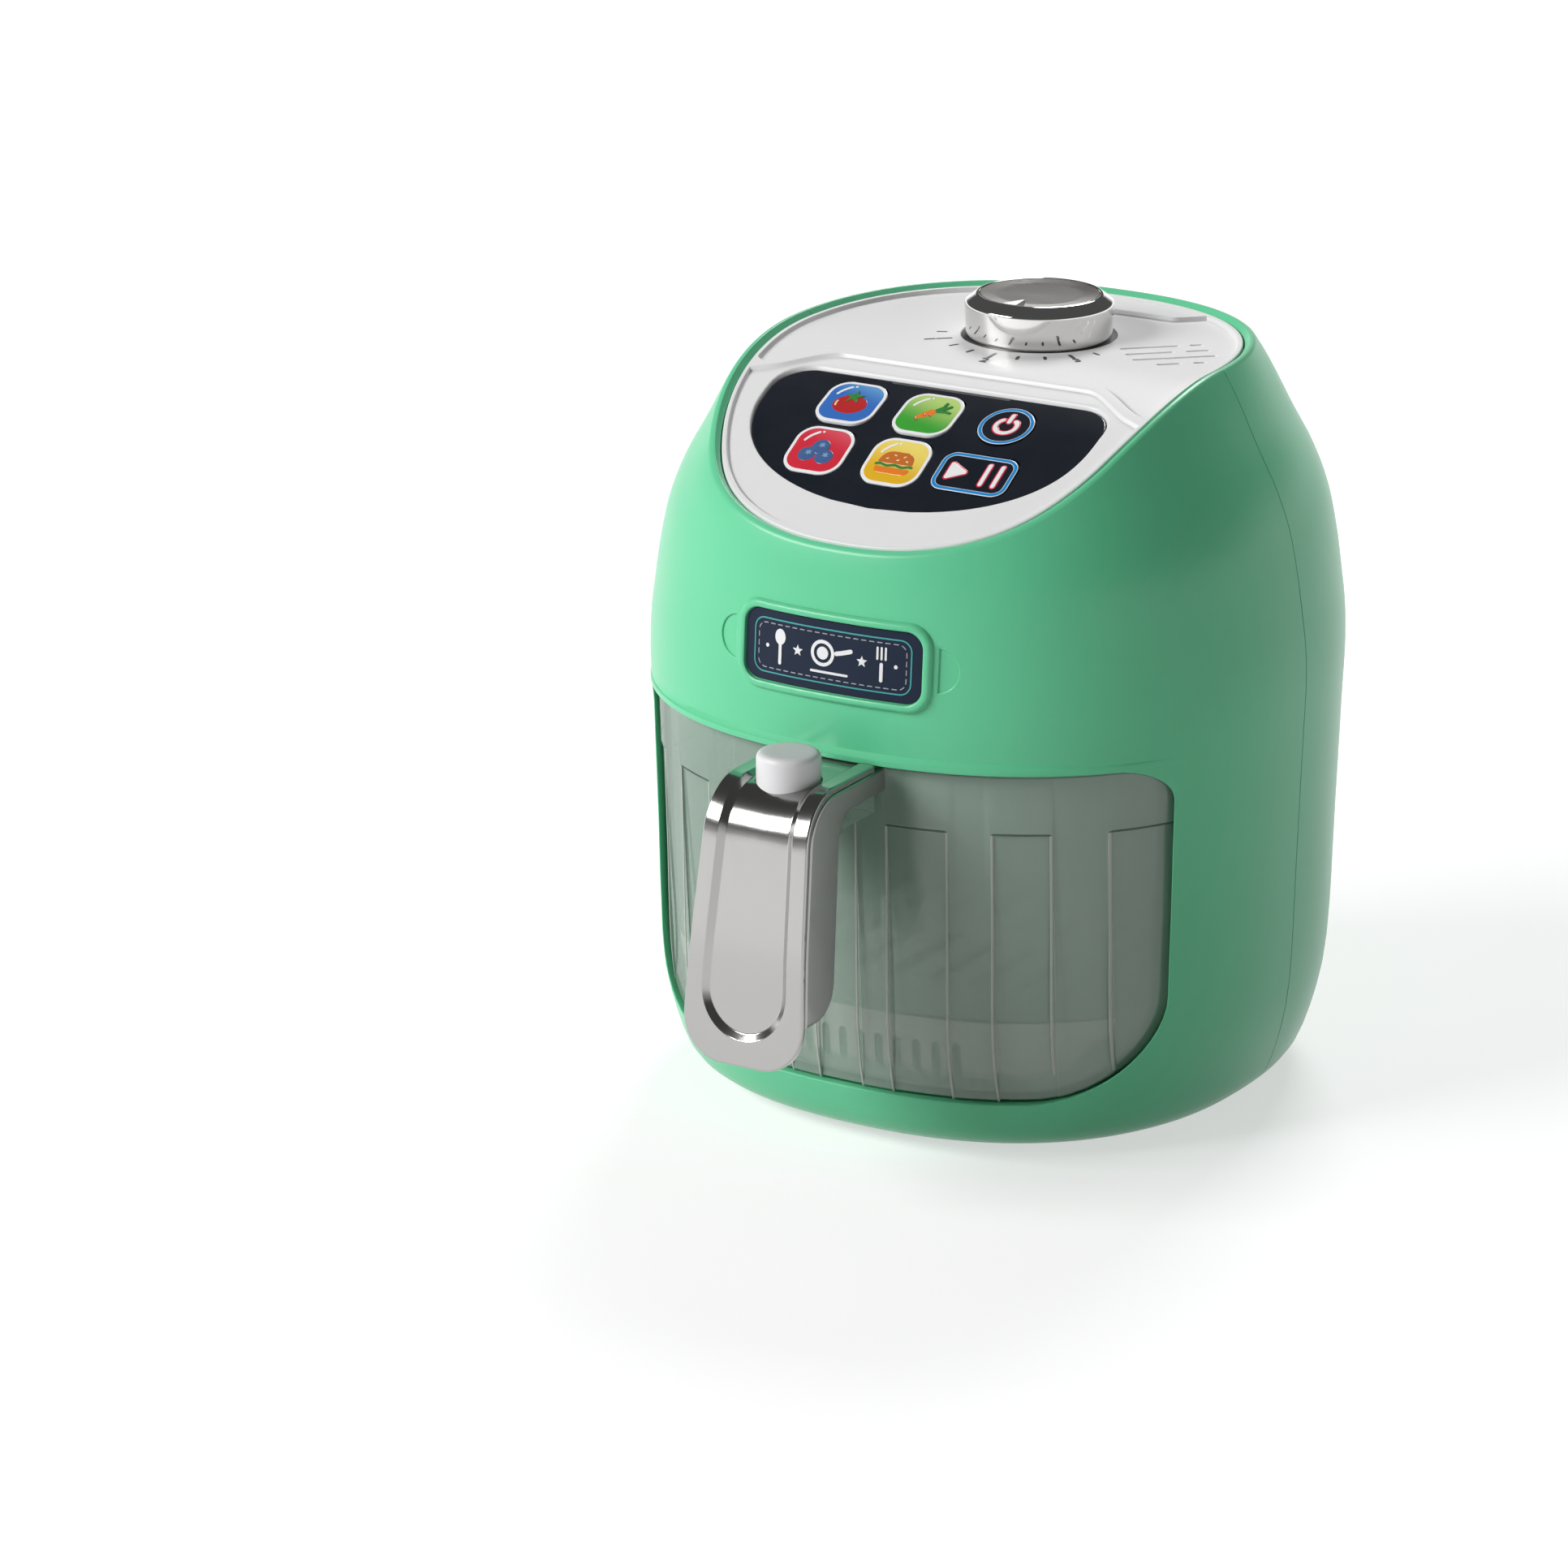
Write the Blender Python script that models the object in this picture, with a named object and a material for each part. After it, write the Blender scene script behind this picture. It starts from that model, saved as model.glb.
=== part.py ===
# Toy air fryer: two-part green body, white control panel, smoky pull-out basket with a bowed handle.
# Metres, +Z up. The front looks along -Y. The origin is under the middle of the whole outline.

import math

import bmesh
import bpy
from mathutils import Matrix, Vector

for old in list(bpy.data.objects):
    bpy.data.objects.remove(old, do_unlink=True)

# General clearances and mesh counts
GAP = 0.0003
OVERRUN = 0.004
REACH = 0.130
RING_STEPS = 44
ROUND_STEPS = 24
SMALL_STEPS = 10
CORNER_STEPS = 5
TINY_STEPS = 8

# Body: a superellipse in plan, with a radius that changes with height
BODY_HALF_WIDTH = 0.0850
BODY_HEIGHT = 0.1920
PLAN_EXPONENT = 2.3
FOOT_LIFT = 0.0012
SHELL_WALL = 0.0024
SEAM_Y = 0.0040
LENGTH_START_SHARE = 0.612
LENGTH_GAIN = 0.084
PROFILE_SHARES = (
    (0.000, 0.765),
    (0.012, 0.840),
    (0.028, 0.888),
    (0.058, 0.921),
    (0.125, 0.960),
    (0.192, 0.976),
    (0.340, 0.985),
    (0.500, 0.995),
    (0.610, 1.000),
    (0.685, 0.979),
    (0.740, 0.958),
    (0.790, 0.931),
    (0.840, 0.886),
    (0.890, 0.825),
    (0.940, 0.768),
    (0.975, 0.723),
    (1.000, 0.683),
    (1.030, 0.628),
)

# Top: level at the back, then bent over an arc into the sloping screen
TOP_DROP = 0.0025
TOP_HEIGHT = BODY_HEIGHT - TOP_DROP
BEND_START_Y = 0.0020
BEND_RADIUS = 1.1176 * BODY_HALF_WIDTH
SCREEN_TILT = math.radians(30.5)
BEND_STEPS = 10

# Window in the front shell, through which the basket slides
WINDOW_LOW = 0.0170
WINDOW_HIGH = 0.5406 * BODY_HEIGHT
WINDOW_HALF_TOP = 0.8776 * BODY_HALF_WIDTH
WINDOW_HALF_LOW = 0.8565 * BODY_HALF_WIDTH
WINDOW_TOP_RADIUS = 0.0090
WINDOW_LOW_RADIUS = 0.0270
WINDOW_BACK_Y = -0.0250

# Drip lip over the window
LIP_LOW = WINDOW_HIGH + 0.0005
LIP_BAND = 0.0016
LIP_SLOPE_HEIGHT = 0.0036
LIP_SHIFT = 0.0024
LIP_SHRINK = 0.0010
LIP_HALF_SPAN = 0.8471 * BODY_HALF_WIDTH

# Rear waist groove, vents and shell screws
WAIST_Z = WINDOW_HIGH - 0.0108
WAIST_HEIGHT = 0.0036
WAIST_DEPTH = 0.0010
WAIST_START_Y = 0.0440
VENT_COUNT = 6
VENT_PITCH = 0.0080
VENT_LOW = 0.0360
VENT_HALF_LENGTH = 0.0200
VENT_HEIGHT = 0.0032
BOSS_RADIUS = 0.0042
BOSS_X = 0.7059 * BODY_HALF_WIDTH
BOSS_Z = WINDOW_HIGH + 0.0242
SCREW_RADIUS = 0.0013
SCREW_HEAD_RADIUS = 0.0028
SCREW_HEAD_HEIGHT = 0.0016
SCREW_HOLE_RADIUS = 0.0016
HEAD_HOLE_RADIUS = 0.0031
BOSS_FLOOR = 0.0040
SHELL_SCREW_LENGTH = 0.0120

# Base plate and feet
BASE_THICKNESS = 0.0025
FOOT_RADIUS = 0.0060
FOOT_PLUG = 0.0012
FOOT_PLACE = 0.4706 * BODY_HALF_WIDTH
BASE_BOSS_PLACE = 0.3530 * BODY_HALF_WIDTH
BASE_BOSS_SIDE = 0.6118 * BODY_HALF_WIDTH
BASE_BOSS_HEIGHT = 0.0080
BASE_SCREW_LENGTH = 0.0080
RIB_THICKNESS = 0.0020
POST_RADIUS = 0.0040
POST_X = 0.2941 * BODY_HALF_WIDTH
POST_Y = 0.4471 * BODY_HALF_WIDTH

# Chamber liner behind the window
LINER_WALL = 0.0016
LINER_GAP = 0.0006
LINER_BACK_Y = 0.6118 * BODY_HALF_WIDTH
STANDOFF_RADIUS = 0.0025
STANDOFF_HEIGHT = 0.0120

# Basket
BASKET_INSET = 0.0016
BASKET_GAP = 0.0004
BASKET_WALL = 0.0020
BASKET_BACK_Y = LINER_BACK_Y - 0.0040
FACE_PANEL_DEPTH = 0.0005
FACE_PANEL_TOP = WINDOW_HIGH - 0.0153
FACE_PANEL_EDGES = ((-0.0061, 0.0061), (0.0144, 0.0297), (0.0402, 0.0527), (0.0636, 0.0790))

# Crisper tray, an upturned slotted dish on the basket's floor
TRAY_TOP = 0.0380
TRAY_WALL = 0.0016
TRAY_GAP = 0.0006
TRAY_SLOT_WIDTH = 0.0022
TRAY_SLOT_PITCH = 0.0050
TRAY_SLOT_LOW = 0.0035
TRAY_SLOT_HIGH = 0.0125
TRAY_SIDE_SLOTS = 13
TRAY_TOP_SLOTS = 9
TRAY_TOP_PITCH = 0.0110
TRAY_TOP_SLOT_WIDTH = 0.0040
TRAY_TOP_FRONT = -0.6824 * BODY_HALF_WIDTH
TRAY_TOP_BACK = BASKET_BACK_Y - 0.0140
TRAY_TOP_BAR = 0.0060

# Handle: an arch that leaves the basket under the lip and hangs down in front
ARM_TOP = WINDOW_HIGH + 0.0012
ARM_LOW = ARM_TOP - 0.0078
ARM_HALF_WIDTH = 0.0143
ARCH_FRONT_Y = -BODY_HALF_WIDTH - 0.0332
ARCH_RADIUS = 0.0140
GRIP_BEND_Y = -BODY_HALF_WIDTH - 0.0392
GRIP_BEND_Z = WINDOW_HIGH - 0.0378
GRIP_BEND_RADIUS = 0.1500
HANDLE_FRONT_LOW_Y = -BODY_HALF_WIDTH - 0.0420
HANDLE_LOW = WINDOW_HIGH - 0.0666
HANDLE_DEPTH_TOP = 0.0144
HANDLE_DEPTH_LOW = 0.0160
HANDLE_BACK_LOW = HANDLE_LOW + 0.0117
HANDLE_BACK_RADIUS = 0.0090
HANDLE_INNER_RADIUS = 0.0070
HANDLE_HALF_TOP = 0.0141
HANDLE_HALF_LOW = 0.0172
HANDLE_END_RADIUS = 0.0112
PLATE_THICKNESS = 0.0016
PLATE_START_Y = -BODY_HALF_WIDTH - 0.0022
PLATE_RIM = 0.0040
PLATE_SINK = 0.0010
CHANNEL_START_Y = -BODY_HALF_WIDTH - 0.0155
SIDE_SKIN = 0.0018
TONGUE_LOW = ARM_LOW - 0.0058
HANDLE_FACE_GAP = 0.0004

# Release button, its spring and latch bar
RELEASE_Y = -BODY_HALF_WIDTH - 0.0190
RELEASE_RADIUS = 0.0079
RELEASE_TOP = ARM_TOP + 0.0062
RELEASE_LOW = ARM_TOP - 0.0062
RELEASE_TRAVEL = 0.0015
RELEASE_CROWN = 0.0016
WELL_LOW = ARM_TOP - 0.0080
SPRING_Y = RELEASE_Y - 0.0034
SPRING_LOW = ARM_TOP - 0.0116
SPRING_HOLE_RADIUS = 0.0034
SPRING_RADIUS = 0.0027
SPRING_WIRE_RADIUS = 0.0003
SPRING_TURNS = 3
SPRING_TURN_POINTS = 10
LATCH_HALF_WIDTH = 0.0040
LATCH_LOW = RELEASE_LOW
LATCH_THICKNESS = 0.0012
LATCH_HOOK_LENGTH = 0.0026
LATCH_HOOK_TOP = ARM_TOP - 0.0022

# Control panel
PANEL_DROP = 0.0009
PANEL_THICKNESS = 0.0038
LEDGE_WIDTH = 0.0030
LEDGE_THICKNESS = 0.0016
PANEL_RIM = 0.0013
BEZEL_DEPTH = 0.0008
FIELD_DEPTH = 0.0012
FIELD_FRONT_Y = -0.1941 * BODY_HALF_WIDTH
TAB_DEPTH = 0.0005
TAB_FRONT_Y = 0.5647 * BODY_HALF_WIDTH
TAB_HALF_WIDTH = 0.0240
TAB_FLARE = 0.0058
RIDGE_Y = FIELD_FRONT_Y - 0.0012
RIDGE_WIDTH = 0.0028
RIDGE_HALF_SPAN = 0.4235 * BODY_HALF_WIDTH
RIDGE_END_X = 0.6350 * BODY_HALF_WIDTH
RIDGE_END_Y = -0.3330 * BODY_HALF_WIDTH
SCREEN_RECESS = 0.0030
SCREEN_THICKNESS = 0.0008
SCREEN_DROP = PANEL_DROP + SCREEN_RECESS - GAP - SCREEN_THICKNESS
SCREEN_TOP_Y = -0.2910 * BODY_HALF_WIDTH
SCREEN_LOW_Y = -0.7770 * BODY_HALF_WIDTH
SCREEN_HALF_WIDTH = 0.5520 * BODY_HALF_WIDTH
SCREEN_CORNER_RADIUS = 0.0080
SCREEN_SIDE_SHARES = (
    (0.998, 0.300),
    (0.980, 0.420),
    (0.925, 0.560),
    (0.830, 0.700),
    (0.680, 0.820),
    (0.500, 0.905),
    (0.260, 0.975),
    (0.000, 1.000),
)

# Push buttons in the screen
ROW_UP_Y = -0.4223 * BODY_HALF_WIDTH
ROW_LOW_Y = -0.6071 * BODY_HALF_WIDTH
COLUMN_PITCH = 0.2576 * BODY_HALF_WIDTH
COLUMN_SHIFT = -0.0080 * BODY_HALF_WIDTH
TILE_WIDTH = 0.1918 * BODY_HALF_WIDTH
TILE_LENGTH = 0.1882 * BODY_HALF_WIDTH
TILE_RADIUS = 0.0052
POWER_RADIUS = 0.0847 * BODY_HALF_WIDTH
PLAY_WIDTH = 0.2447 * BODY_HALF_WIDTH
PLAY_LENGTH = 0.1529 * BODY_HALF_WIDTH
PLAY_RADIUS = 0.0036
BUTTON_PROUD = 0.0002
BUTTON_DEPTH = 0.0026
BUTTON_FLANGE = 0.0008
BUTTON_FLANGE_RIM = 0.0006
BUTTON_TRAVEL = 0.0010
MAT_DEPTH = BUTTON_DEPTH + BUTTON_FLANGE + BUTTON_TRAVEL + 0.0010
MAT_THICKNESS = 0.0010
BOARD_THICKNESS = 0.0016
MAT_HALF_WIDTH = 0.4118 * BODY_HALF_WIDTH
MAT_HALF_LENGTH = 0.2000 * BODY_HALF_WIDTH
BOARD_MARGIN = 0.0036

# Dial
DIAL_Y = 0.2294 * BODY_HALF_WIDTH
DIAL_RADIUS = 0.2235 * BODY_HALF_WIDTH
DIAL_WELL_GAP = 0.0007
DIAL_WELL_DEPTH = 0.0016
DIAL_SHOULDER_Z = TOP_HEIGHT + 0.0061
DIAL_TOP_Z = TOP_HEIGHT + 0.0095
DIAL_TOP_RADIUS = DIAL_RADIUS - 0.0022
DIAL_DISC_RADIUS = DIAL_RADIUS - 0.0038
DIAL_DISC_DROP = 0.0012
DIAL_DISC_THICKNESS = 0.0010
POINTER_LENGTH = 0.0070
POINTER_WIDTH = 0.0066
POINTER_DEPTH = 0.0005
SHAFT_RADIUS = 0.0030
SWITCH_SIDE = 0.0180
SWITCH_HEIGHT = 0.0070
BUSH_RADIUS = 0.0052
TICK_RING_RADIUS = DIAL_RADIUS + 0.0056
TICK_COUNT = 24
TICK_LENGTH = 0.0018
TICK_LONG = 0.0032
TICK_WIDTH = 0.0006
TICK_DEPTH = 0.0003

# Speaker behind slots that run slantwise
SPEAKER_X = 0.4576 * BODY_HALF_WIDTH
SPEAKER_Y = 0.2071 * BODY_HALF_WIDTH
SPEAKER_RADIUS = 0.0130
SPEAKER_DEPTH = 0.0060
MAGNET_RADIUS = 0.0070
MAGNET_HEIGHT = 0.0050
SLOT_WIDTH = 0.0013
SLOT_TURN = math.radians(42.0)
SLOT_ROW_PITCH = 0.0057
SLOT_SPAN = 0.0204
SLOT_ROW_SHARES = (
    (-1.5, -0.52, 0.17),
    (-1.5, 0.37, 0.47),
    (-0.5, -0.52, 0.03),
    (-0.5, 0.25, 0.49),
    (0.5, -0.50, 0.50),
    (1.5, -0.27, -0.03),
    (1.5, 0.19, 0.28),
)

# Nameplate in a raised frame on the front
PLATE_Z = WINDOW_HIGH + 0.0258
NAMEPLATE_WIDTH = 0.0500
NAMEPLATE_HEIGHT = 0.0184
NAMEPLATE_RADIUS = 0.0042
FRAME_RIM = 0.0018
FRAME_POCKET = 0.0012
FRAME_PROUD = 0.0012
FRAME_FLOOR = 0.0006
NAMEPLATE_THICKNESS = 0.0005
THUMB_RADIUS = 0.0054
THUMB_DEPTH = 0.0004
THUMB_OFFSET = 0.0010

# Battery box and door
CELL_RADIUS = 0.0070
CELL_LENGTH = 0.0490
CELL_NUB_RADIUS = 0.0026
CELL_NUB_HEIGHT = 0.0013
CELL_PITCH = 0.0150
CELL_COUNT = 3
CELL_Y = LINER_BACK_Y + 0.0106
BOX_WALL = 0.0018
BOX_LOW = TOP_HEIGHT - 0.0793
CONTACT_THICKNESS = 0.0006
DOOR_CORNER = 0.0030
DOOR_BOSS_HEIGHT = 0.0070

# Main board, light pipe and wires
BOARD_HALF_X = 0.0330
BOARD_HALF_Y = 0.0300
CHIP_SIDE = 0.0090
CHIP_HEIGHT = 0.0018
LIGHT_RADIUS = 0.0030
LIGHT_FLANGE = 0.0014
LIGHT_Y = -0.1176 * BODY_HALF_WIDTH
WIRE_RADIUS = 0.0008

# Colours as red, green and blue
GREEN = (0.150, 0.640, 0.400)
WHITE = (0.820, 0.820, 0.820)
NAVY = (0.010, 0.018, 0.042)
SMOKE = (0.180, 0.240, 0.215)
CHROME = (0.720, 0.710, 0.700)
SILVER = (0.400, 0.400, 0.395)
TRAY_GREY = (0.500, 0.490, 0.480)
RUBBER = (0.060, 0.060, 0.060)
STEEL = (0.520, 0.520, 0.510)
BOARD_GREEN = (0.040, 0.220, 0.110)
AMBER = (0.900, 0.350, 0.060)
BLUE = (0.070, 0.260, 0.680)
LIME = (0.280, 0.600, 0.080)
RED = (0.750, 0.050, 0.080)
YELLOW = (0.880, 0.650, 0.060)
COPPER = (0.700, 0.400, 0.200)

# The body's axis stands behind the origin, because the handle reaches forward
BODY_AXIS_Y = (-HANDLE_FRONT_LOW_Y - BODY_HALF_WIDTH) / 2


# Shapes of the body

def curve_through(shares, place):
    """Value at a place on the smooth curve through pairs of place and value."""
    last = len(shares) - 2
    span = 0
    while span < last and place > shares[span + 1][0]:
        span += 1
    (x0, y0), (x1, y1) = shares[span], shares[span + 1]
    before = shares[max(span - 1, 0)]
    after = shares[min(span + 2, last + 1)]
    width = x1 - x0
    slope0 = (y1 - before[1]) / (x1 - before[0]) * width
    slope1 = (after[1] - y0) / (after[0] - x0) * width
    t = (place - x0) / width
    hold = 2 * t ** 3 - 3 * t ** 2 + 1
    rise = t ** 3 - 2 * t ** 2 + t
    fall = t ** 3 - t ** 2
    return hold * y0 + (1 - hold) * y1 + rise * slope0 + fall * slope1


def body_radius(z):
    """Half width of the body at a height."""
    share = (z - FOOT_LIFT) / (BODY_HEIGHT - FOOT_LIFT)
    share = min(max(share, 0), PROFILE_SHARES[-1][0])
    return BODY_HALF_WIDTH * curve_through(PROFILE_SHARES, share)


def length_ratio(z):
    """How much longer than wide the plan is at a height: the sides lean in more than front and back."""
    share = (z - FOOT_LIFT) / (BODY_HEIGHT - FOOT_LIFT)
    return 1 + LENGTH_GAIN * max(share - LENGTH_START_SHARE, 0) / (1 - LENGTH_START_SHARE)


def plan_ring(radius, z):
    """Ring of points of the body's plan, of a half width, at a height."""
    return [(x, y * length_ratio(z), z) for x, y in superellipse(radius)]


def inner_radius(z, inset):
    """Half width inside a wall, which is as thick along the floor as at the sides."""
    return min(body_radius(z), body_radius(z - inset)) - inset


def superellipse(radius, steps=RING_STEPS):
    """Plan outline of the body, scaled to a half width."""
    points = []
    for step in range(steps):
        turn = math.tau * step / steps
        x, y = math.cos(turn), math.sin(turn)
        power = 2 / PLAN_EXPONENT
        points.append((
            math.copysign(radius * abs(x) ** power, x), math.copysign(radius * abs(y) ** power, y),
        ))
    return points


def plan_y(radius, x):
    """How far the plan outline lies from the axis at a sideways place."""
    return (radius ** PLAN_EXPONENT - abs(x) ** PLAN_EXPONENT) ** (1 / PLAN_EXPONENT)


def top_height(y):
    """Height of the body's top edge, which only depends on the place from front to back."""
    ahead = BEND_START_Y - y
    bend_run = BEND_RADIUS * math.sin(SCREEN_TILT)
    if ahead <= 0:
        return TOP_HEIGHT
    if ahead <= bend_run:
        return TOP_HEIGHT - BEND_RADIUS + math.sqrt(BEND_RADIUS ** 2 - ahead ** 2)
    bend_drop = BEND_RADIUS * (1 - math.cos(SCREEN_TILT))
    return TOP_HEIGHT - bend_drop - (ahead - bend_run) * math.tan(SCREEN_TILT)


def top_slope(y):
    """Angle by which the top leans forward at a place."""
    ahead = min(max(BEND_START_Y - y, 0), BEND_RADIUS * math.sin(SCREEN_TILT))
    return math.asin(ahead / BEND_RADIUS)


# Outlines

def circle(radius, steps=ROUND_STEPS, centre=(0, 0)):
    turns = [math.tau * step / steps for step in range(steps)]
    return [(centre[0] + radius * math.cos(turn), centre[1] + radius * math.sin(turn)) for turn in turns]


def rounded(corners, radii, steps=CORNER_STEPS):
    """Polygon whose corners become arcs. A radius of 0 keeps the corner sharp."""
    points = []
    count = len(corners)
    for index, radius in enumerate(radii):
        corner = Vector(corners[index])
        if radius == 0:
            points.append(tuple(corner))
            continue
        back = (Vector(corners[index - 1]) - corner).normalized()
        ahead = (Vector(corners[(index + 1) % count]) - corner).normalized()
        half = back.angle(ahead) / 2
        centre = corner + (back + ahead).normalized() * radius / math.sin(half)
        start = corner + back * radius / math.tan(half) - centre
        sweep = start.angle_signed(corner + ahead * radius / math.tan(half) - centre)
        for step in range(steps + 1):
            spin = Matrix.Rotation(-sweep * step / steps, 2)
            points.append(tuple(centre + spin @ start))
    return points


def rectangle(width, length, radius=0, centre=(0, 0), steps=CORNER_STEPS):
    x, y = width / 2, length / 2
    corners = [(-x, -y), (x, -y), (x, y), (-x, y)]
    corners = [(centre[0] + a, centre[1] + b) for a, b in corners]
    return rounded(corners, [radius] * len(corners), steps)


def window_outline(shrink=0, raise_top=0):
    """Window as x and z, made smaller all round and raised at its top."""
    low = WINDOW_LOW + shrink
    high = WINDOW_HIGH - shrink + raise_top
    corners = [
        (-WINDOW_HALF_LOW + shrink, low),
        (WINDOW_HALF_LOW - shrink, low),
        (WINDOW_HALF_TOP - shrink, high),
        (-WINDOW_HALF_TOP + shrink, high),
    ]
    low_radius = WINDOW_LOW_RADIUS - shrink
    high_radius = WINDOW_TOP_RADIUS - shrink
    return rounded(corners, [low_radius, low_radius, high_radius, high_radius])


def screen_outline(shrink=0):
    """Screen as x and y: straight at the back, round corners, then bowed along the front edge."""
    half = SCREEN_HALF_WIDTH - shrink
    back = SCREEN_TOP_Y - shrink
    length = SCREEN_TOP_Y - SCREEN_LOW_Y - 2 * shrink
    side = [(half * across, back - length * along) for across, along in SCREEN_SIDE_SHARES]
    corner = SCREEN_CORNER_RADIUS
    turns = [math.pi / 2 * step / CORNER_STEPS for step in range(CORNER_STEPS + 1)]
    centre = (half - corner, back - corner)
    round_end = [(centre[0] + corner * math.sin(turn), centre[1] + corner * math.cos(turn)) for turn in turns]
    right = round_end + side
    left = [(-x, y) for x, y in reversed(right[:-1])]
    return list(reversed(right + left))


# Mesh makers

def make_object(name, mesh_data):
    """New object from a bmesh, with its faces turned outward."""
    bmesh.ops.recalc_face_normals(mesh_data, faces=mesh_data.faces)
    mesh = bpy.data.meshes.new(name)
    mesh_data.to_mesh(mesh)
    mesh_data.free()
    item = bpy.data.objects.new(name, mesh)
    bpy.context.scene.collection.objects.link(item)
    return item


def loft(name, rings):
    """Closed skin over rings of equal point counts, capped at both ends."""
    work = bmesh.new()
    loops = [[work.verts.new(point) for point in ring] for ring in rings]
    count = len(rings[0])
    for low, high in zip(loops[:-1], loops[1:]):
        for index in range(count):
            after = (index + 1) % count
            work.faces.new((low[index], low[after], high[after], high[index]))
    work.faces.new(list(reversed(loops[0])))
    work.faces.new(loops[-1])
    return make_object(name, work)


def prism(name, outline, start, end, axis="Z"):
    """Outline run along an axis. The outline is x,y for Z, x,z for Y and y,z for X."""
    def place(a, b, along):
        return {"Z": (a, b, along), "Y": (a, along, b), "X": (along, a, b)}[axis]
    return loft(name, [[place(a, b, along) for a, b in outline] for along in (start, end)])


def turned(name, profile, centre=(0, 0), steps=ROUND_STEPS):
    """Solid of revolution about a vertical axis, from pairs of radius and height."""
    rings = [[(x, y, z) for x, y in circle(radius, steps, centre)] for radius, z in profile]
    return loft(name, rings)


def box(name, low, high):
    outline = [(low[0], low[1]), (high[0], low[1]), (high[0], high[1]), (low[0], high[1])]
    return prism(name, outline, low[2], high[2])


def cut(target, cutter, operation="DIFFERENCE", keep=False):
    """Boolean of two objects, applied to the first. The second goes unless it is kept."""
    step = target.modifiers.new("Cut", "BOOLEAN")
    step.operation = operation
    step.solver = "EXACT"
    step.object = cutter
    graph = bpy.context.evaluated_depsgraph_get()
    result = bpy.data.meshes.new_from_object(target.evaluated_get(graph))
    before = target.data
    target.modifiers.clear()
    target.data = result
    bpy.data.meshes.remove(before)
    if not keep:
        bpy.data.objects.remove(cutter, do_unlink=True)
    return target


def merge_all(name, items):
    """One cutter out of several shapes that don't touch."""
    work = bmesh.new()
    for item in items:
        work.from_mesh(item.data)
        bpy.data.objects.remove(item, do_unlink=True)
    return make_object(name, work)


def body_loft(name, inset=0, split=1):
    """Solid with the body's shape, inset from it, from below its floor to above its top."""
    shares = [PROFILE_SHARES[0][0]]
    for (before, _), (after, _) in zip(PROFILE_SHARES[:-1], PROFILE_SHARES[1:]):
        shares += [before + (after - before) * (part + 1) / split for part in range(split)]
    heights = [FOOT_LIFT + (BODY_HEIGHT - FOOT_LIFT) * share for share in shares]
    if inset > 0:
        heights = [z + (inset if z < WINDOW_LOW else 0) for z in heights]
        heights = [FOOT_LIFT - OVERRUN] + heights
        heights = [z for z in heights if z <= heights[-1]]
    radii = [inner_radius(z, inset) if inset > 0 else body_radius(z) for z in heights]
    return loft(name, [plan_ring(radius, z) for radius, z in zip(radii, heights)])


def band_under_top(name, upper, lower=None):
    """Block under the top surface, dropped by upper; with lower given, only a sheet down to it."""
    bend_end = BEND_START_Y - BEND_RADIUS * math.sin(SCREEN_TILT)
    bend = [BEND_START_Y + (bend_end - BEND_START_Y) * step / BEND_STEPS for step in range(BEND_STEPS + 1)]
    places = [REACH] + bend + [-REACH]
    top = [(y, top_height(y) - upper) for y in places]
    if lower is None:
        bottom = [(-REACH, -REACH), (REACH, -REACH)]
    else:
        bottom = [(y, top_height(y) - lower) for y in reversed(places)]
    return prism(name, top + bottom, -REACH, REACH, axis="X")


def block_over_top(name, drop):
    """Block above the top surface, from a drop below it."""
    return band_under_top(name, -REACH, drop)


def half_space(name, front=True):
    """Block on one side of the seam between the two shells."""
    if front:
        return box(name, (-REACH, -2 * REACH, -REACH), (REACH, SEAM_Y - GAP / 2, 2 * REACH))
    return box(name, (-REACH, SEAM_Y + GAP / 2, -REACH), (REACH, 2 * REACH, 2 * REACH))


# Placing and finishing

body_axis = bpy.data.objects.new("body_axis", None)
bpy.context.scene.collection.objects.link(body_axis)
body_axis.location = (0, BODY_AXIS_Y, 0)


def finish(item, colour, roughness=0.35, metallic=0.0, alpha=1.0, origin=(0, 0, 0), parent=None, smooth=35):
    """Material, shading and origin. A mesh made in the body's frame moves its origin to the given point."""
    material = bpy.data.materials.new(item.name)
    material.use_nodes = True
    shader = material.node_tree.nodes["Principled BSDF"]
    shader.inputs["Base Color"].default_value = (*colour, 1.0)
    shader.inputs["Roughness"].default_value = roughness
    shader.inputs["Metallic"].default_value = metallic
    shader.inputs["Alpha"].default_value = alpha
    item.data.materials.clear()
    item.data.materials.append(material)
    item.data.shade_smooth()
    item.data.set_sharp_from_angle(angle=math.radians(smooth))
    item.data.transform(Matrix.Translation(-Vector(origin)))
    item.parent = parent or body_axis
    item.location = Vector(origin) - (Vector(parent.location) if parent else Vector())
    return item


def joint_empty(name, place, parent=None):
    """Empty on a joint's axis, placed in the body's frame."""
    item = bpy.data.objects.new(name, None)
    bpy.context.scene.collection.objects.link(item)
    item.parent = parent or body_axis
    item.location = Vector(place) - (Vector(parent.location) if parent else Vector())
    return item


# Screws

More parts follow.
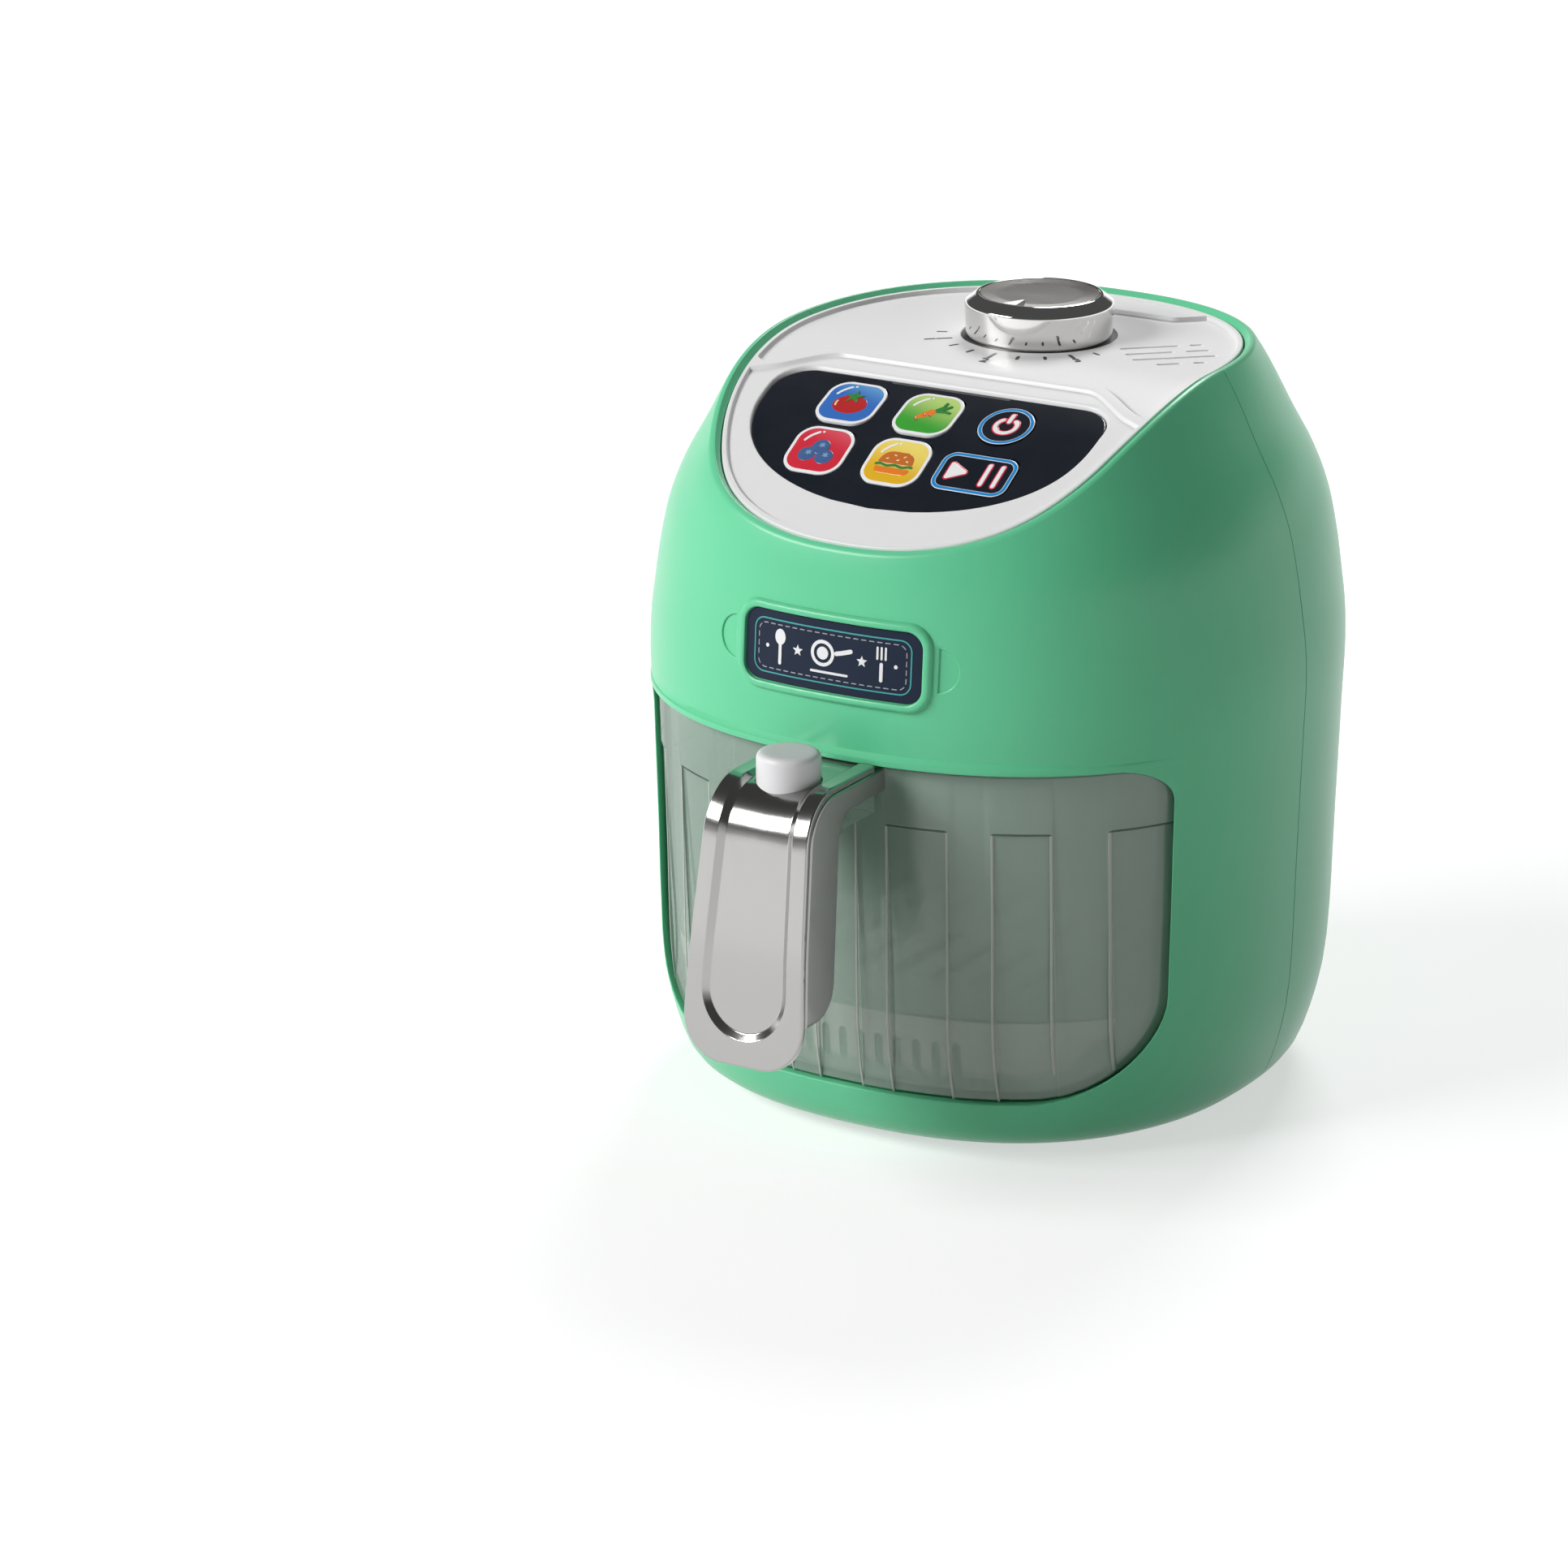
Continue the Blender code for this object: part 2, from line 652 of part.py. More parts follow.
def screw(name, head, direction, length, steps=TINY_STEPS):
    """Pan-head screw whose head's outer face is at a point, with the shank along a direction."""
    item = turned(
        name,
        [
            (SCREW_HEAD_RADIUS * 0.7, 0),
            (SCREW_HEAD_RADIUS, SCREW_HEAD_HEIGHT * 0.4),
            (SCREW_HEAD_RADIUS, SCREW_HEAD_HEIGHT),
            (SCREW_RADIUS, SCREW_HEAD_HEIGHT),
            (SCREW_RADIUS, length - SCREW_RADIUS),
            (SCREW_RADIUS * 0.4, length),
        ],
        steps=steps,
    )
    turn = Vector((0, 0, 1)).rotation_difference(Vector(direction)).to_matrix().to_4x4()
    item.data.transform(Matrix.Translation(head) @ turn)
    return finish(item, STEEL, 0.3, 1.0, origin=head)


def cylinder_along(name, start, end, radius, steps=SMALL_STEPS):
    """Round bar between two points."""
    run = Vector(end) - Vector(start)
    item = turned(name, [(radius, 0), (radius, run.length)], steps=steps)
    turn = Vector((0, 0, 1)).rotation_difference(run).to_matrix().to_4x4()
    item.data.transform(Matrix.Translation(start) @ turn)
    return item


# Body shells

BASE_SCREW_PLACES = [
    (side * BASE_BOSS_SIDE, end * BASE_BOSS_PLACE) for end in (-1, 1) for side in (-1, 1)
]


def base_boss(x, y):
    """Screw boss that stands on the shell's floor flange, tied to the wall by a rib."""
    low = FOOT_LIFT + BASE_THICKNESS + GAP
    high = low + BASE_BOSS_HEIGHT
    boss = cylinder_along("boss", (x, y, low), (x, y, high), BOSS_RADIUS)
    wall_x = math.copysign(plan_y(inner_radius(low + SHELL_WALL, SHELL_WALL / 2), y), x)
    near, far = sorted((x, wall_x))
    rib = box("rib", (near, y - RIB_THICKNESS / 2, low), (far, y + RIB_THICKNESS / 2, high - RIB_THICKNESS))
    return cut(boss, rib, "UNION")


def screw_holes(bosses_low):
    """Holes for the base screws in the bosses."""
    return [
        cylinder_along(
            "hole", (x, y, bosses_low - OVERRUN), (x, y, bosses_low + BASE_SCREW_LENGTH),
            SCREW_HOLE_RADIUS, TINY_STEPS,
        )
        for x, y in BASE_SCREW_PLACES
    ]


def make_half_shell(name, front):
    """Half of the moulded body: skin, ledge under the panel, and screw bosses."""
    shell = body_loft(name)
    cut(shell, band_under_top("under", 0), "INTERSECT")
    cut(shell, half_space("half", front), "INTERSECT")
    cut(shell, body_loft("cavity", SHELL_WALL, split=1))
    ledge_top = PANEL_DROP + PANEL_THICKNESS + GAP
    ledge = body_loft("ledge", SHELL_WALL / 2, split=1)
    cut(ledge, band_under_top("sheet", ledge_top, ledge_top + LEDGE_THICKNESS), "INTERSECT")
    cut(ledge, body_loft("opening", SHELL_WALL + LEDGE_WIDTH, split=1))
    cut(ledge, half_space("half", front), "INTERSECT")
    cut(shell, ledge, "UNION")
    end = -1 if front else 1
    for x, y in BASE_SCREW_PLACES:
        if y * end > 0:
            cut(shell, base_boss(x, y), "UNION")
    boss_low = FOOT_LIFT + BASE_THICKNESS + GAP
    cut(shell, merge_all("holes", screw_holes(boss_low)))
    return shell


def side_boss(x, front):
    """Long boss along Y near the side wall that carries a shell screw."""
    wall = plan_y(body_radius(BOSS_Z) - SHELL_WALL / 2, abs(x) + BOSS_RADIUS / 2) * length_ratio(BOSS_Z)
    if front:
        return cylinder_along("boss", (x, -wall, BOSS_Z), (x, SEAM_Y - GAP / 2, BOSS_Z), BOSS_RADIUS)
    return cylinder_along("boss", (x, SEAM_Y + GAP / 2, BOSS_Z), (x, wall, BOSS_Z), BOSS_RADIUS)


def make_lip():
    """Drip lip: the body's outline moved forward, so that it fades out towards the sides."""
    steps = (
        (LIP_LOW, LIP_SHRINK, LIP_SHIFT),
        (LIP_LOW + LIP_BAND, LIP_SHRINK, LIP_SHIFT),
        (LIP_LOW + LIP_BAND + LIP_SLOPE_HEIGHT, LIP_SHIFT, LIP_SHRINK),
    )
    rings = []
    for z, shrink, shift in steps:
        radius = body_radius(z) - shrink
        rings.append([(x, y - shift, z) for x, y in superellipse(radius)])
    lip = loft("lip", rings)
    cut(lip, box("span", (-LIP_HALF_SPAN, -REACH, 0), (LIP_HALF_SPAN, WINDOW_BACK_Y, REACH)), "INTERSECT")
    cut(lip, body_loft("inside", SHELL_WALL / 2, split=1))
    return lip


def frame_outline(grow=0):
    return rectangle(
        NAMEPLATE_WIDTH + 2 * (FRAME_RIM + grow),
        NAMEPLATE_HEIGHT + 2 * (FRAME_RIM + grow),
        NAMEPLATE_RADIUS + FRAME_RIM + grow,
        centre=(0, PLATE_Z),
    )


def shell_layer(name, inset):
    """Block ahead of the body's axis that lies outside a skin inset from the body's outside."""
    block = box(name, (-REACH, -REACH, 0), (REACH, 0, 2 * REACH))
    return cut(block, layer_loft("skin", inset))


def layer_loft(name, inset):
    """Body shape inset or grown by a small amount, without the thicker floor of a cavity."""
    heights = [FOOT_LIFT + (BODY_HEIGHT - FOOT_LIFT) * share for share, _ in PROFILE_SHARES]
    return loft(name, [plan_ring(body_radius(z) - inset, z) for z in heights])


def make_front_shell():
    shell = make_half_shell("front_shell", True)
    cut(shell, make_lip(), "UNION")
    cut(shell, prism("window", window_outline(), -REACH, WINDOW_BACK_Y, axis="Y"))
    for side in (-1, 1):
        cut(shell, side_boss(side * BOSS_X, True), "UNION")
    holes = [
        cylinder_along(
            "hole", (side * BOSS_X, SEAM_Y - SHELL_SCREW_LENGTH, BOSS_Z),
            (side * BOSS_X, SEAM_Y + OVERRUN, BOSS_Z), SCREW_HOLE_RADIUS, TINY_STEPS,
        )
        for side in (-1, 1)
    ]
    cut(shell, merge_all("holes", holes))
    pocket = prism("pocket", frame_outline(GAP), -REACH, 0, axis="Y")
    cut(pocket, shell_layer("outside", FRAME_POCKET), "INTERSECT")
    cut(shell, pocket)
    thumb_x = NAMEPLATE_WIDTH / 2 + FRAME_RIM + THUMB_OFFSET
    thumbs = []
    for side in (-1, 1):
        thumb = prism(
            "thumb", circle(THUMB_RADIUS, SMALL_STEPS * 2, (side * thumb_x, PLATE_Z)), -REACH, 0,
            axis="Y",
        )
        near, far = sorted((side * thumb_x, side * REACH))
        cut(thumb, box("side", (near, -REACH, 0), (far, 0, 2 * REACH)), "INTERSECT")
        thumbs.append(thumb)
    recess = merge_all("thumbs", thumbs)
    cut(recess, shell_layer("outside", THUMB_DEPTH), "INTERSECT")
    cut(shell, recess)
    return finish(shell, GREEN, 0.32)


DOOR_HALF_WIDTH = CELL_PITCH * CELL_COUNT / 2 + BOX_WALL / 2
BOX_HIGH = BOX_LOW + CELL_LENGTH + CELL_NUB_HEIGHT + 2 * (CONTACT_THICKNESS + 2 * GAP)


def door_outline(shrink=0):
    width = 2 * (DOOR_HALF_WIDTH - shrink)
    height = BOX_HIGH - BOX_LOW - 2 * shrink
    return rectangle(width, height, DOOR_CORNER, centre=(0, (BOX_LOW + BOX_HIGH) / 2))


def make_rear_shell():
    shell = make_half_shell("rear_shell", False)
    for side in (-1, 1):
        cut(shell, side_boss(side * BOSS_X, False), "UNION")
        x = side * BOSS_X
        step = SEAM_Y + BOSS_FLOOR
        bore = [
            cylinder_along(
                "hole", (x, 0, BOSS_Z), (x, step + OVERRUN / 2, BOSS_Z), SCREW_HOLE_RADIUS,
                TINY_STEPS,
            ),
            cylinder_along("well", (x, step, BOSS_Z), (x, REACH, BOSS_Z), HEAD_HOLE_RADIUS, SMALL_STEPS),
        ]
        for cutter in bore:
            cut(shell, cutter)
    cut(shell, prism("door_opening", door_outline(), CELL_Y, REACH, axis="Y"))
    vents = []
    for index in range(VENT_COUNT):
        z = VENT_LOW + VENT_PITCH * index
        outline = rectangle(2 * VENT_HALF_LENGTH, VENT_HEIGHT, VENT_HEIGHT / 2 - GAP, centre=(0, z), steps=3)
        vents.append(prism("vent", outline, LINER_BACK_Y + LINER_WALL, REACH, axis="Y"))
    cut(shell, merge_all("vents", vents))
    low = WAIST_Z - WAIST_HEIGHT / 2
    waist = box("waist", (-REACH, WAIST_START_Y, low), (REACH, REACH, low + WAIST_HEIGHT))
    cut(waist, layer_loft("skin", WAIST_DEPTH))
    cut(shell, waist)
    return finish(shell, GREEN, 0.32)


def make_base_plate():
    low = FOOT_LIFT
    high = FOOT_LIFT + BASE_THICKNESS
    radius = body_radius(FOOT_LIFT) - SHELL_WALL - GAP
    plate = prism("base_plate", superellipse(radius), low, high)
    post_top = WINDOW_LOW - LINER_GAP - LINER_WALL - GAP
    for x in (-POST_X, POST_X):
        for y in (-POST_Y, POST_Y):
            cut(
                plate,
                cylinder_along("post", (x, y, low + BASE_THICKNESS / 2), (x, y, post_top), POST_RADIUS),
                "UNION",
            )
    cutters = []
    for x, y in BASE_SCREW_PLACES:
        cutters.append(cylinder_along(
            "hole", (x, y, low - OVERRUN), (x, y, high + OVERRUN), SCREW_HOLE_RADIUS, TINY_STEPS,
        ))
    cut(plate, merge_all("holes", cutters))
    sinks = [
        cylinder_along("sink", (x, y, low - OVERRUN), (x, y, low + SCREW_HEAD_HEIGHT + GAP), HEAD_HOLE_RADIUS)
        for x, y in BASE_SCREW_PLACES
    ]
    seats = [
        cylinder_along(
            "seat", (a * FOOT_PLACE, b * FOOT_PLACE, low - OVERRUN),
            (a * FOOT_PLACE, b * FOOT_PLACE, low + FOOT_PLUG + GAP), FOOT_RADIUS + GAP,
            SMALL_STEPS * 2,
        )
        for a in (-1, 1)
        for b in (-1, 1)
    ]
    cut(plate, merge_all("sinks", sinks + seats))
    return finish(plate, GREEN, 0.40)


def make_feet():
    names = {(-1, -1): "front_left", (1, -1): "front_right", (-1, 1): "rear_left", (1, 1): "rear_right"}
    for (a, b), where in names.items():
        centre = (a * FOOT_PLACE, b * FOOT_PLACE)
        top = FOOT_LIFT + FOOT_PLUG
        chamfer = FOOT_LIFT / 4
        foot = turned(
            "foot_" + where,
            [(FOOT_RADIUS - chamfer, 0), (FOOT_RADIUS, chamfer), (FOOT_RADIUS, top)],
            centre,
            SMALL_STEPS * 2,
        )
        finish(foot, RUBBER, 0.75, origin=(*centre, 0))


def make_body_screws():
    for index, (x, y) in enumerate(BASE_SCREW_PLACES):
        low = FOOT_LIFT + GAP / 2
        screw("base_screw_%d" % (index + 1), (x, y, low), (0, 0, 1), BASE_SCREW_LENGTH)
    for side, where in ((-1, "left"), (1, "right")):
        head_y = SEAM_Y + BOSS_FLOOR + GAP + SCREW_HEAD_HEIGHT
        screw("shell_screw_" + where, (side * BOSS_X, head_y, BOSS_Z), (0, -1, 0), SHELL_SCREW_LENGTH)


# Chamber liner

def trimmed_behind(item, inset):
    """Cuts what reaches past a skin inset from the body, in the rear half only."""
    outside = box("outside", (-REACH, LINER_BACK_Y - REACH / 3, -REACH), (REACH, REACH, REACH))
    cut(outside, body_loft("skin", inset))
    return cut(item, outside)


def make_liner():
    wall = LINER_GAP + LINER_WALL
    liner = prism("chamber_liner", window_outline(-wall), -REACH, LINER_BACK_Y, axis="Y")
    cut(liner, body_loft("shell_inside", SHELL_WALL + GAP), "INTERSECT")
    top = WINDOW_HIGH + wall
    board_low = top + STANDOFF_HEIGHT
    for x in (-1, 1):
        for y in (-1, 1):
            place = (x * (BOARD_HALF_X - STANDOFF_RADIUS), y * (BOARD_HALF_Y - STANDOFF_RADIUS))
            post = cylinder_along(
                "post", (*place, top - LINER_WALL / 2), (*place, board_low), STANDOFF_RADIUS,
            )
            cut(liner, post, "UNION")
    chamber = prism("chamber", window_outline(-LINER_GAP), -2 * REACH, LINER_BACK_Y - LINER_WALL, axis="Y")
    cut(liner, trimmed_behind(chamber, SHELL_WALL + GAP + LINER_WALL))
    cut(
        liner,
        cylinder_along(
            "pipe_hole", (0, LIGHT_Y, top - 2 * wall), (0, LIGHT_Y, top + OVERRUN),
            LIGHT_RADIUS + GAP, SMALL_STEPS * 2,
        ),
    )
    return finish(liner, GREEN, 0.45)


# Basket, tray and handle

basket_joint = joint_empty("basket_slide_axis", (0, 0, WINDOW_LOW))


def make_basket():
    shrink = BASKET_GAP
    basket = prism("basket", window_outline(shrink), -REACH, BASKET_BACK_Y, axis="Y")
    cut(basket, layer_loft("face", BASKET_INSET), "INTERSECT")
    back_inset = SHELL_WALL + GAP + LINER_WALL + LINER_GAP
    trimmed_behind(basket, back_inset)
    inside = prism(
        "inside", window_outline(shrink + BASKET_WALL, 2 * BASKET_WALL + OVERRUN), -REACH,
        BASKET_BACK_Y - BASKET_WALL, axis="Y",
    )
    cut(inside, layer_loft("face_inside", BASKET_INSET + BASKET_WALL), "INTERSECT")
    trimmed_behind(inside, back_inset + BASKET_WALL)
    cut(basket, inside)
    panels = []
    for near, far in FACE_PANEL_EDGES:
        spans = [(near, far)] if near < 0 else [(near, far), (-far, -near)]
        for left, right in spans:
            panels.append(box("panel", (left, -REACH, 0), (right, WINDOW_BACK_Y, FACE_PANEL_TOP)))
    panel = merge_all("panels", panels)
    cut(panel, layer_loft("sunk_face", BASKET_INSET + FACE_PANEL_DEPTH))
    cut(basket, panel)
    notch_low = LATCH_LOW - RELEASE_TRAVEL - GAP
    notch_half = LATCH_HALF_WIDTH + 2 * GAP
    face_y = -(body_radius(WINDOW_HIGH) - BASKET_INSET)
    notch = box("notch", (-notch_half, face_y - OVERRUN, notch_low), (notch_half, face_y + OVERRUN, REACH))
    cut(basket, notch)
    for x in HANDLE_SCREW_X:
        cut(
            basket,
            cylinder_along(
                "hole", (x, face_y - OVERRUN, HANDLE_SCREW_Z), (x, face_y + OVERRUN, HANDLE_SCREW_Z),
                SCREW_HOLE_RADIUS, TINY_STEPS,
            ),
        )
    return finish(basket, SMOKE, 0.10, alpha=0.45, parent=basket_joint)


def make_tray():
    """Upturned dish on the floor of the basket, with slots round its front and across its top."""
    floor = WINDOW_LOW + BASKET_GAP + BASKET_WALL
    shrink = BASKET_GAP + BASKET_WALL + TRAY_GAP
    face_inset = BASKET_INSET + BASKET_WALL + TRAY_GAP
    back = BASKET_BACK_Y - BASKET_WALL - TRAY_GAP
    tray = prism("crisper_tray", window_outline(shrink), -REACH, back, axis="Y")
    cut(tray, layer_loft("face", face_inset), "INTERSECT")
    back_inset = SHELL_WALL + GAP + LINER_WALL + LINER_GAP + BASKET_WALL + TRAY_GAP
    trimmed_behind(tray, back_inset)
    cut(tray, box("level", (-REACH, -REACH, floor + GAP), (REACH, REACH, TRAY_TOP)), "INTERSECT")
    hollow = prism("hollow", window_outline(shrink + TRAY_WALL), -REACH, back - TRAY_WALL, axis="Y")
    cut(hollow, layer_loft("face_inside", face_inset + TRAY_WALL), "INTERSECT")
    trimmed_behind(hollow, back_inset + TRAY_WALL)
    cut(hollow, box("level", (-REACH, -REACH, 0), (REACH, REACH, TRAY_TOP - TRAY_WALL)), "INTERSECT")
    cut(tray, hollow)
    open_floor = WINDOW_HALF_LOW - WINDOW_LOW_RADIUS
    cut(
        tray,
        box(
            "open_floor",
            (-open_floor, face_inset - BODY_HALF_WIDTH + 2 * TRAY_WALL + BASKET_WALL, 0),
            (open_floor, back - TRAY_WALL, floor + 2 * TRAY_WALL),
        ),
    )
    slots = []
    for index in range(TRAY_SIDE_SLOTS):
        x = (index - (TRAY_SIDE_SLOTS - 1) / 2) * TRAY_SLOT_PITCH
        height = TRAY_SLOT_HIGH - TRAY_SLOT_LOW
        outline = rectangle(
            TRAY_SLOT_WIDTH, height, TRAY_SLOT_WIDTH / 2 - GAP,
            centre=(x, floor + TRAY_SLOT_LOW + height / 2), steps=1,
        )
        slots.append(prism("slot", outline, -REACH, TRAY_TOP_FRONT, axis="Y"))
    cut(tray, merge_all("side_slots", slots))
    slots = []
    for index in range(TRAY_TOP_SLOTS):
        x = (index - (TRAY_TOP_SLOTS - 1) / 2) * TRAY_TOP_PITCH
        half = (TRAY_TOP_BACK - TRAY_TOP_FRONT) / 4 - TRAY_TOP_BAR / 2
        trim = abs(x) / (TRAY_TOP_SLOTS * TRAY_TOP_PITCH) * half
        for end in (-1, 1):
            middle = (TRAY_TOP_BACK + TRAY_TOP_FRONT) / 2 + end * (half + TRAY_TOP_BAR / 2)
            length = 2 * half - (trim if end < 0 else 0)
            centre = (x, middle + (trim / 2 if end < 0 else 0))
            outline = rectangle(
                TRAY_TOP_SLOT_WIDTH, length, TRAY_TOP_SLOT_WIDTH / 2 - GAP, centre=centre, steps=1,
            )
            slots.append(prism("slot", outline, TRAY_TOP - 2 * TRAY_WALL, TRAY_TOP + OVERRUN))
    cut(tray, merge_all("top_slots", slots))
    return finish(tray, TRAY_GREY, 0.45, parent=basket_joint, origin=(0, 0, floor))


HANDLE_SCREW_X = (-ARM_HALF_WIDTH / 2, ARM_HALF_WIDTH / 2)
HANDLE_SCREW_Z = (ARM_LOW + ARM_TOP - PLATE_THICKNESS - GAP) / 2
HANDLE_JOIN_Y = -(BODY_HALF_WIDTH - BASKET_INSET)


def handle_side(inset, plate_edge=False):
    """Side view of the handle as y and z, inset from its outer curve."""
    top = ARM_TOP - inset
    outer = [(ARCH_FRONT_Y + inset, top), (GRIP_BEND_Y + inset, GRIP_BEND_Z)]
    outer_radii = [ARCH_RADIUS - inset, GRIP_BEND_RADIUS]
    low_front = HANDLE_FRONT_LOW_Y + inset
    back_top = ARCH_FRONT_Y + HANDLE_DEPTH_TOP
    back_low = HANDLE_FRONT_LOW_Y + HANDLE_DEPTH_LOW
    if plate_edge:
        behind = [(back_low, HANDLE_LOW), (PLATE_START_Y, ARM_LOW)]
        corners = [(PLATE_START_Y, top), *outer, (low_front, HANDLE_LOW), *behind]
        return rounded(corners, [0, *outer_radii, 0, 0, 0], CORNER_STEPS + 3)
    corners = [
        (HANDLE_JOIN_Y + BASKET_WALL, top),
        *outer,
        (low_front + (GRIP_BEND_Y - HANDLE_FRONT_LOW_Y) / 3, HANDLE_BACK_LOW),
        (back_low, HANDLE_BACK_LOW),
        (back_top, ARM_LOW),
        (HANDLE_JOIN_Y + BASKET_WALL, ARM_LOW),
    ]
    radii = [0, *outer_radii, 0, HANDLE_BACK_RADIUS, HANDLE_INNER_RADIUS, 0]
    return rounded(corners, radii, CORNER_STEPS + 3)


def handle_front(inset=0, raise_top=0):
    """Front view of the handle as x and z: wider and round at its lower end."""
    top = ARM_TOP + raise_top
    corners = [
        (-HANDLE_HALF_LOW + inset, HANDLE_LOW + inset),
        (HANDLE_HALF_LOW - inset, HANDLE_LOW + inset),
        (HANDLE_HALF_TOP - inset, top),
        (-HANDLE_HALF_TOP + inset, top),
    ]
    radius = HANDLE_END_RADIUS - inset
    return rounded(corners, [radius, radius, 0, 0])


def release_well(name, low=WELL_LOW):
    return cylinder_along(name, (0, RELEASE_Y, low), (0, RELEASE_Y, REACH), RELEASE_RADIUS + GAP, ROUND_STEPS)


def make_handle_body():
    """Silver arch: thin side skins along the arms, solid below them."""
    side = HANDLE_HALF_LOW + OVERRUN
    body = prism("handle_body", handle_side(PLATE_THICKNESS + GAP), -side, side, axis="X")
    cut(body, prism("front", handle_front(0, OVERRUN), -2 * REACH, 0, axis="Y"), "INTERSECT")
    cut(body, layer_loft("face", BASKET_INSET - HANDLE_FACE_GAP))
    channel_half = HANDLE_HALF_TOP - SIDE_SKIN
    cut(body, box("channel", (-channel_half, CHANNEL_START_Y, ARM_LOW - OVERRUN), (channel_half, 0, REACH)))
    cut(body, release_well("well"))
    spring_hole = (0, SPRING_Y, SPRING_LOW), (0, SPRING_Y, WELL_LOW + OVERRUN / 2)
    cut(body, cylinder_along("spring_hole", *spring_hole, SPRING_HOLE_RADIUS, SMALL_STEPS * 2))
    return finish(body, SILVER, 0.35, 0.6, parent=basket_joint)


def make_handle_plate():
    """Bright cover over the arms, the arch and the front, sunk inside a rim that follows its outline."""
    side = HANDLE_HALF_LOW + OVERRUN
    plate = prism("handle_front_plate", handle_side(0, True), -side, side, axis="X")
    cut(plate, prism("inside", handle_core(PLATE_THICKNESS), -2 * side, 2 * side, axis="X"))
    cut(plate, prism("front", handle_front(0, OVERRUN), -2 * REACH, 0, axis="Y"), "INTERSECT")
    middle = prism("middle", handle_front(PLATE_RIM, REACH), -2 * REACH, 0, axis="Y")
    cut(middle, prism("core", handle_core(PLATE_SINK), -2 * side, 2 * side, axis="X"))
    cut(plate, middle)
    cut(plate, release_well("well"))
    return finish(plate, CHROME, 0.12, 1.0, parent=basket_joint)


def handle_core(inset):
    """Side view of what lies behind the front plate, open to the back and below."""
    top = ARM_TOP - inset
    slope = (HANDLE_FRONT_LOW_Y - GRIP_BEND_Y) / (GRIP_BEND_Z - HANDLE_LOW)
    low = HANDLE_LOW - OVERRUN
    low_front = HANDLE_FRONT_LOW_Y + inset - slope * (low - HANDLE_LOW)
    front = [(ARCH_FRONT_Y + inset, top), (GRIP_BEND_Y + inset, GRIP_BEND_Z), (low_front, low)]
    corners = [(0, top), *front, (0, low)]
    return rounded(corners, [0, ARCH_RADIUS - inset, GRIP_BEND_RADIUS, 0, 0], CORNER_STEPS + 3)


def make_inlay():
    """Clear tongue between the arms that fastens the handle to the basket, with a tunnel for the latch."""
    half = HANDLE_HALF_TOP - SIDE_SKIN - GAP
    inlay = box(
        "handle_inlay", (-half, CHANNEL_START_Y + GAP, TONGUE_LOW),
        (half, 0, ARM_TOP - PLATE_THICKNESS - GAP),
    )
    cut(inlay, layer_loft("face", BASKET_INSET - HANDLE_FACE_GAP))
    tunnel_half = LATCH_HALF_WIDTH + 2 * GAP
    tunnel_top = LATCH_LOW + LATCH_THICKNESS + 2 * GAP
    cut(inlay, box("tunnel", (-tunnel_half, -REACH, TONGUE_LOW - OVERRUN), (tunnel_half, 0, tunnel_top)))
    cut(inlay, release_well("well", TONGUE_LOW - OVERRUN))
    for x in HANDLE_SCREW_X:
        start = (x, HANDLE_JOIN_Y - HANDLE_DEPTH_TOP / 2, HANDLE_SCREW_Z)
        cut(inlay, cylinder_along("hole", start, (x, 0, HANDLE_SCREW_Z), SCREW_HOLE_RADIUS, TINY_STEPS))
    return finish(inlay, SMOKE, 0.10, alpha=0.45, parent=basket_joint)


def make_release():
    joint = joint_empty("release_axis", (0, RELEASE_Y, RELEASE_LOW), basket_joint)
    shoulder = RELEASE_TOP - RELEASE_CROWN
    profile = [(RELEASE_RADIUS, RELEASE_LOW), (RELEASE_RADIUS, shoulder)]
    for step in range(1, CORNER_STEPS):
        turn = math.pi / 2 * step / (CORNER_STEPS - 1)
        inward = RELEASE_CROWN * (1 - math.cos(turn))
        profile.append((RELEASE_RADIUS - inward, shoulder + RELEASE_CROWN * math.sin(turn)))
    button = turned("release_button", profile, (0, RELEASE_Y))
    finish(button, WHITE, 0.40, origin=(0, RELEASE_Y, RELEASE_LOW))
    button.parent = joint
    button.location = (0, 0, 0)

    start_y = RELEASE_Y + RELEASE_RADIUS + GAP
    hook_front = -(body_radius(LATCH_HOOK_TOP) - SHELL_WALL - GAP)
    hook_back = hook_front + LATCH_HOOK_LENGTH
    bar = box(
        "latch_bar", (-LATCH_HALF_WIDTH, start_y, LATCH_LOW),
        (LATCH_HALF_WIDTH, hook_back, LATCH_LOW + LATCH_THICKNESS),
    )
    hook = box(
        "hook", (-LATCH_HALF_WIDTH, hook_front, LATCH_LOW + LATCH_THICKNESS / 2),
        (LATCH_HALF_WIDTH, hook_back, LATCH_HOOK_TOP),
    )
    cut(bar, hook, "UNION")
    finish(bar, SILVER, 0.4, origin=(0, RELEASE_Y, RELEASE_LOW))
    bar.parent = joint
    bar.location = (0, 0, 0)


def make_release_spring():
    """Coil under the release button, one unbroken tube."""
    low = SPRING_LOW + GAP + SPRING_WIRE_RADIUS
    high = RELEASE_LOW - GAP - SPRING_WIRE_RADIUS
    count = SPRING_TURNS * SPRING_TURN_POINTS
    points = []
    for step in range(count + 1):
        turn = math.tau * step / SPRING_TURN_POINTS
        z = low + (high - low) * step / count
        points.append(Vector((SPRING_RADIUS * math.cos(turn), SPRING_Y + SPRING_RADIUS * math.sin(turn), z)))
    spring = tube("release_spring", points, SPRING_WIRE_RADIUS, 1)
    return finish(spring, STEEL, 0.3, 1.0, parent=basket_joint)


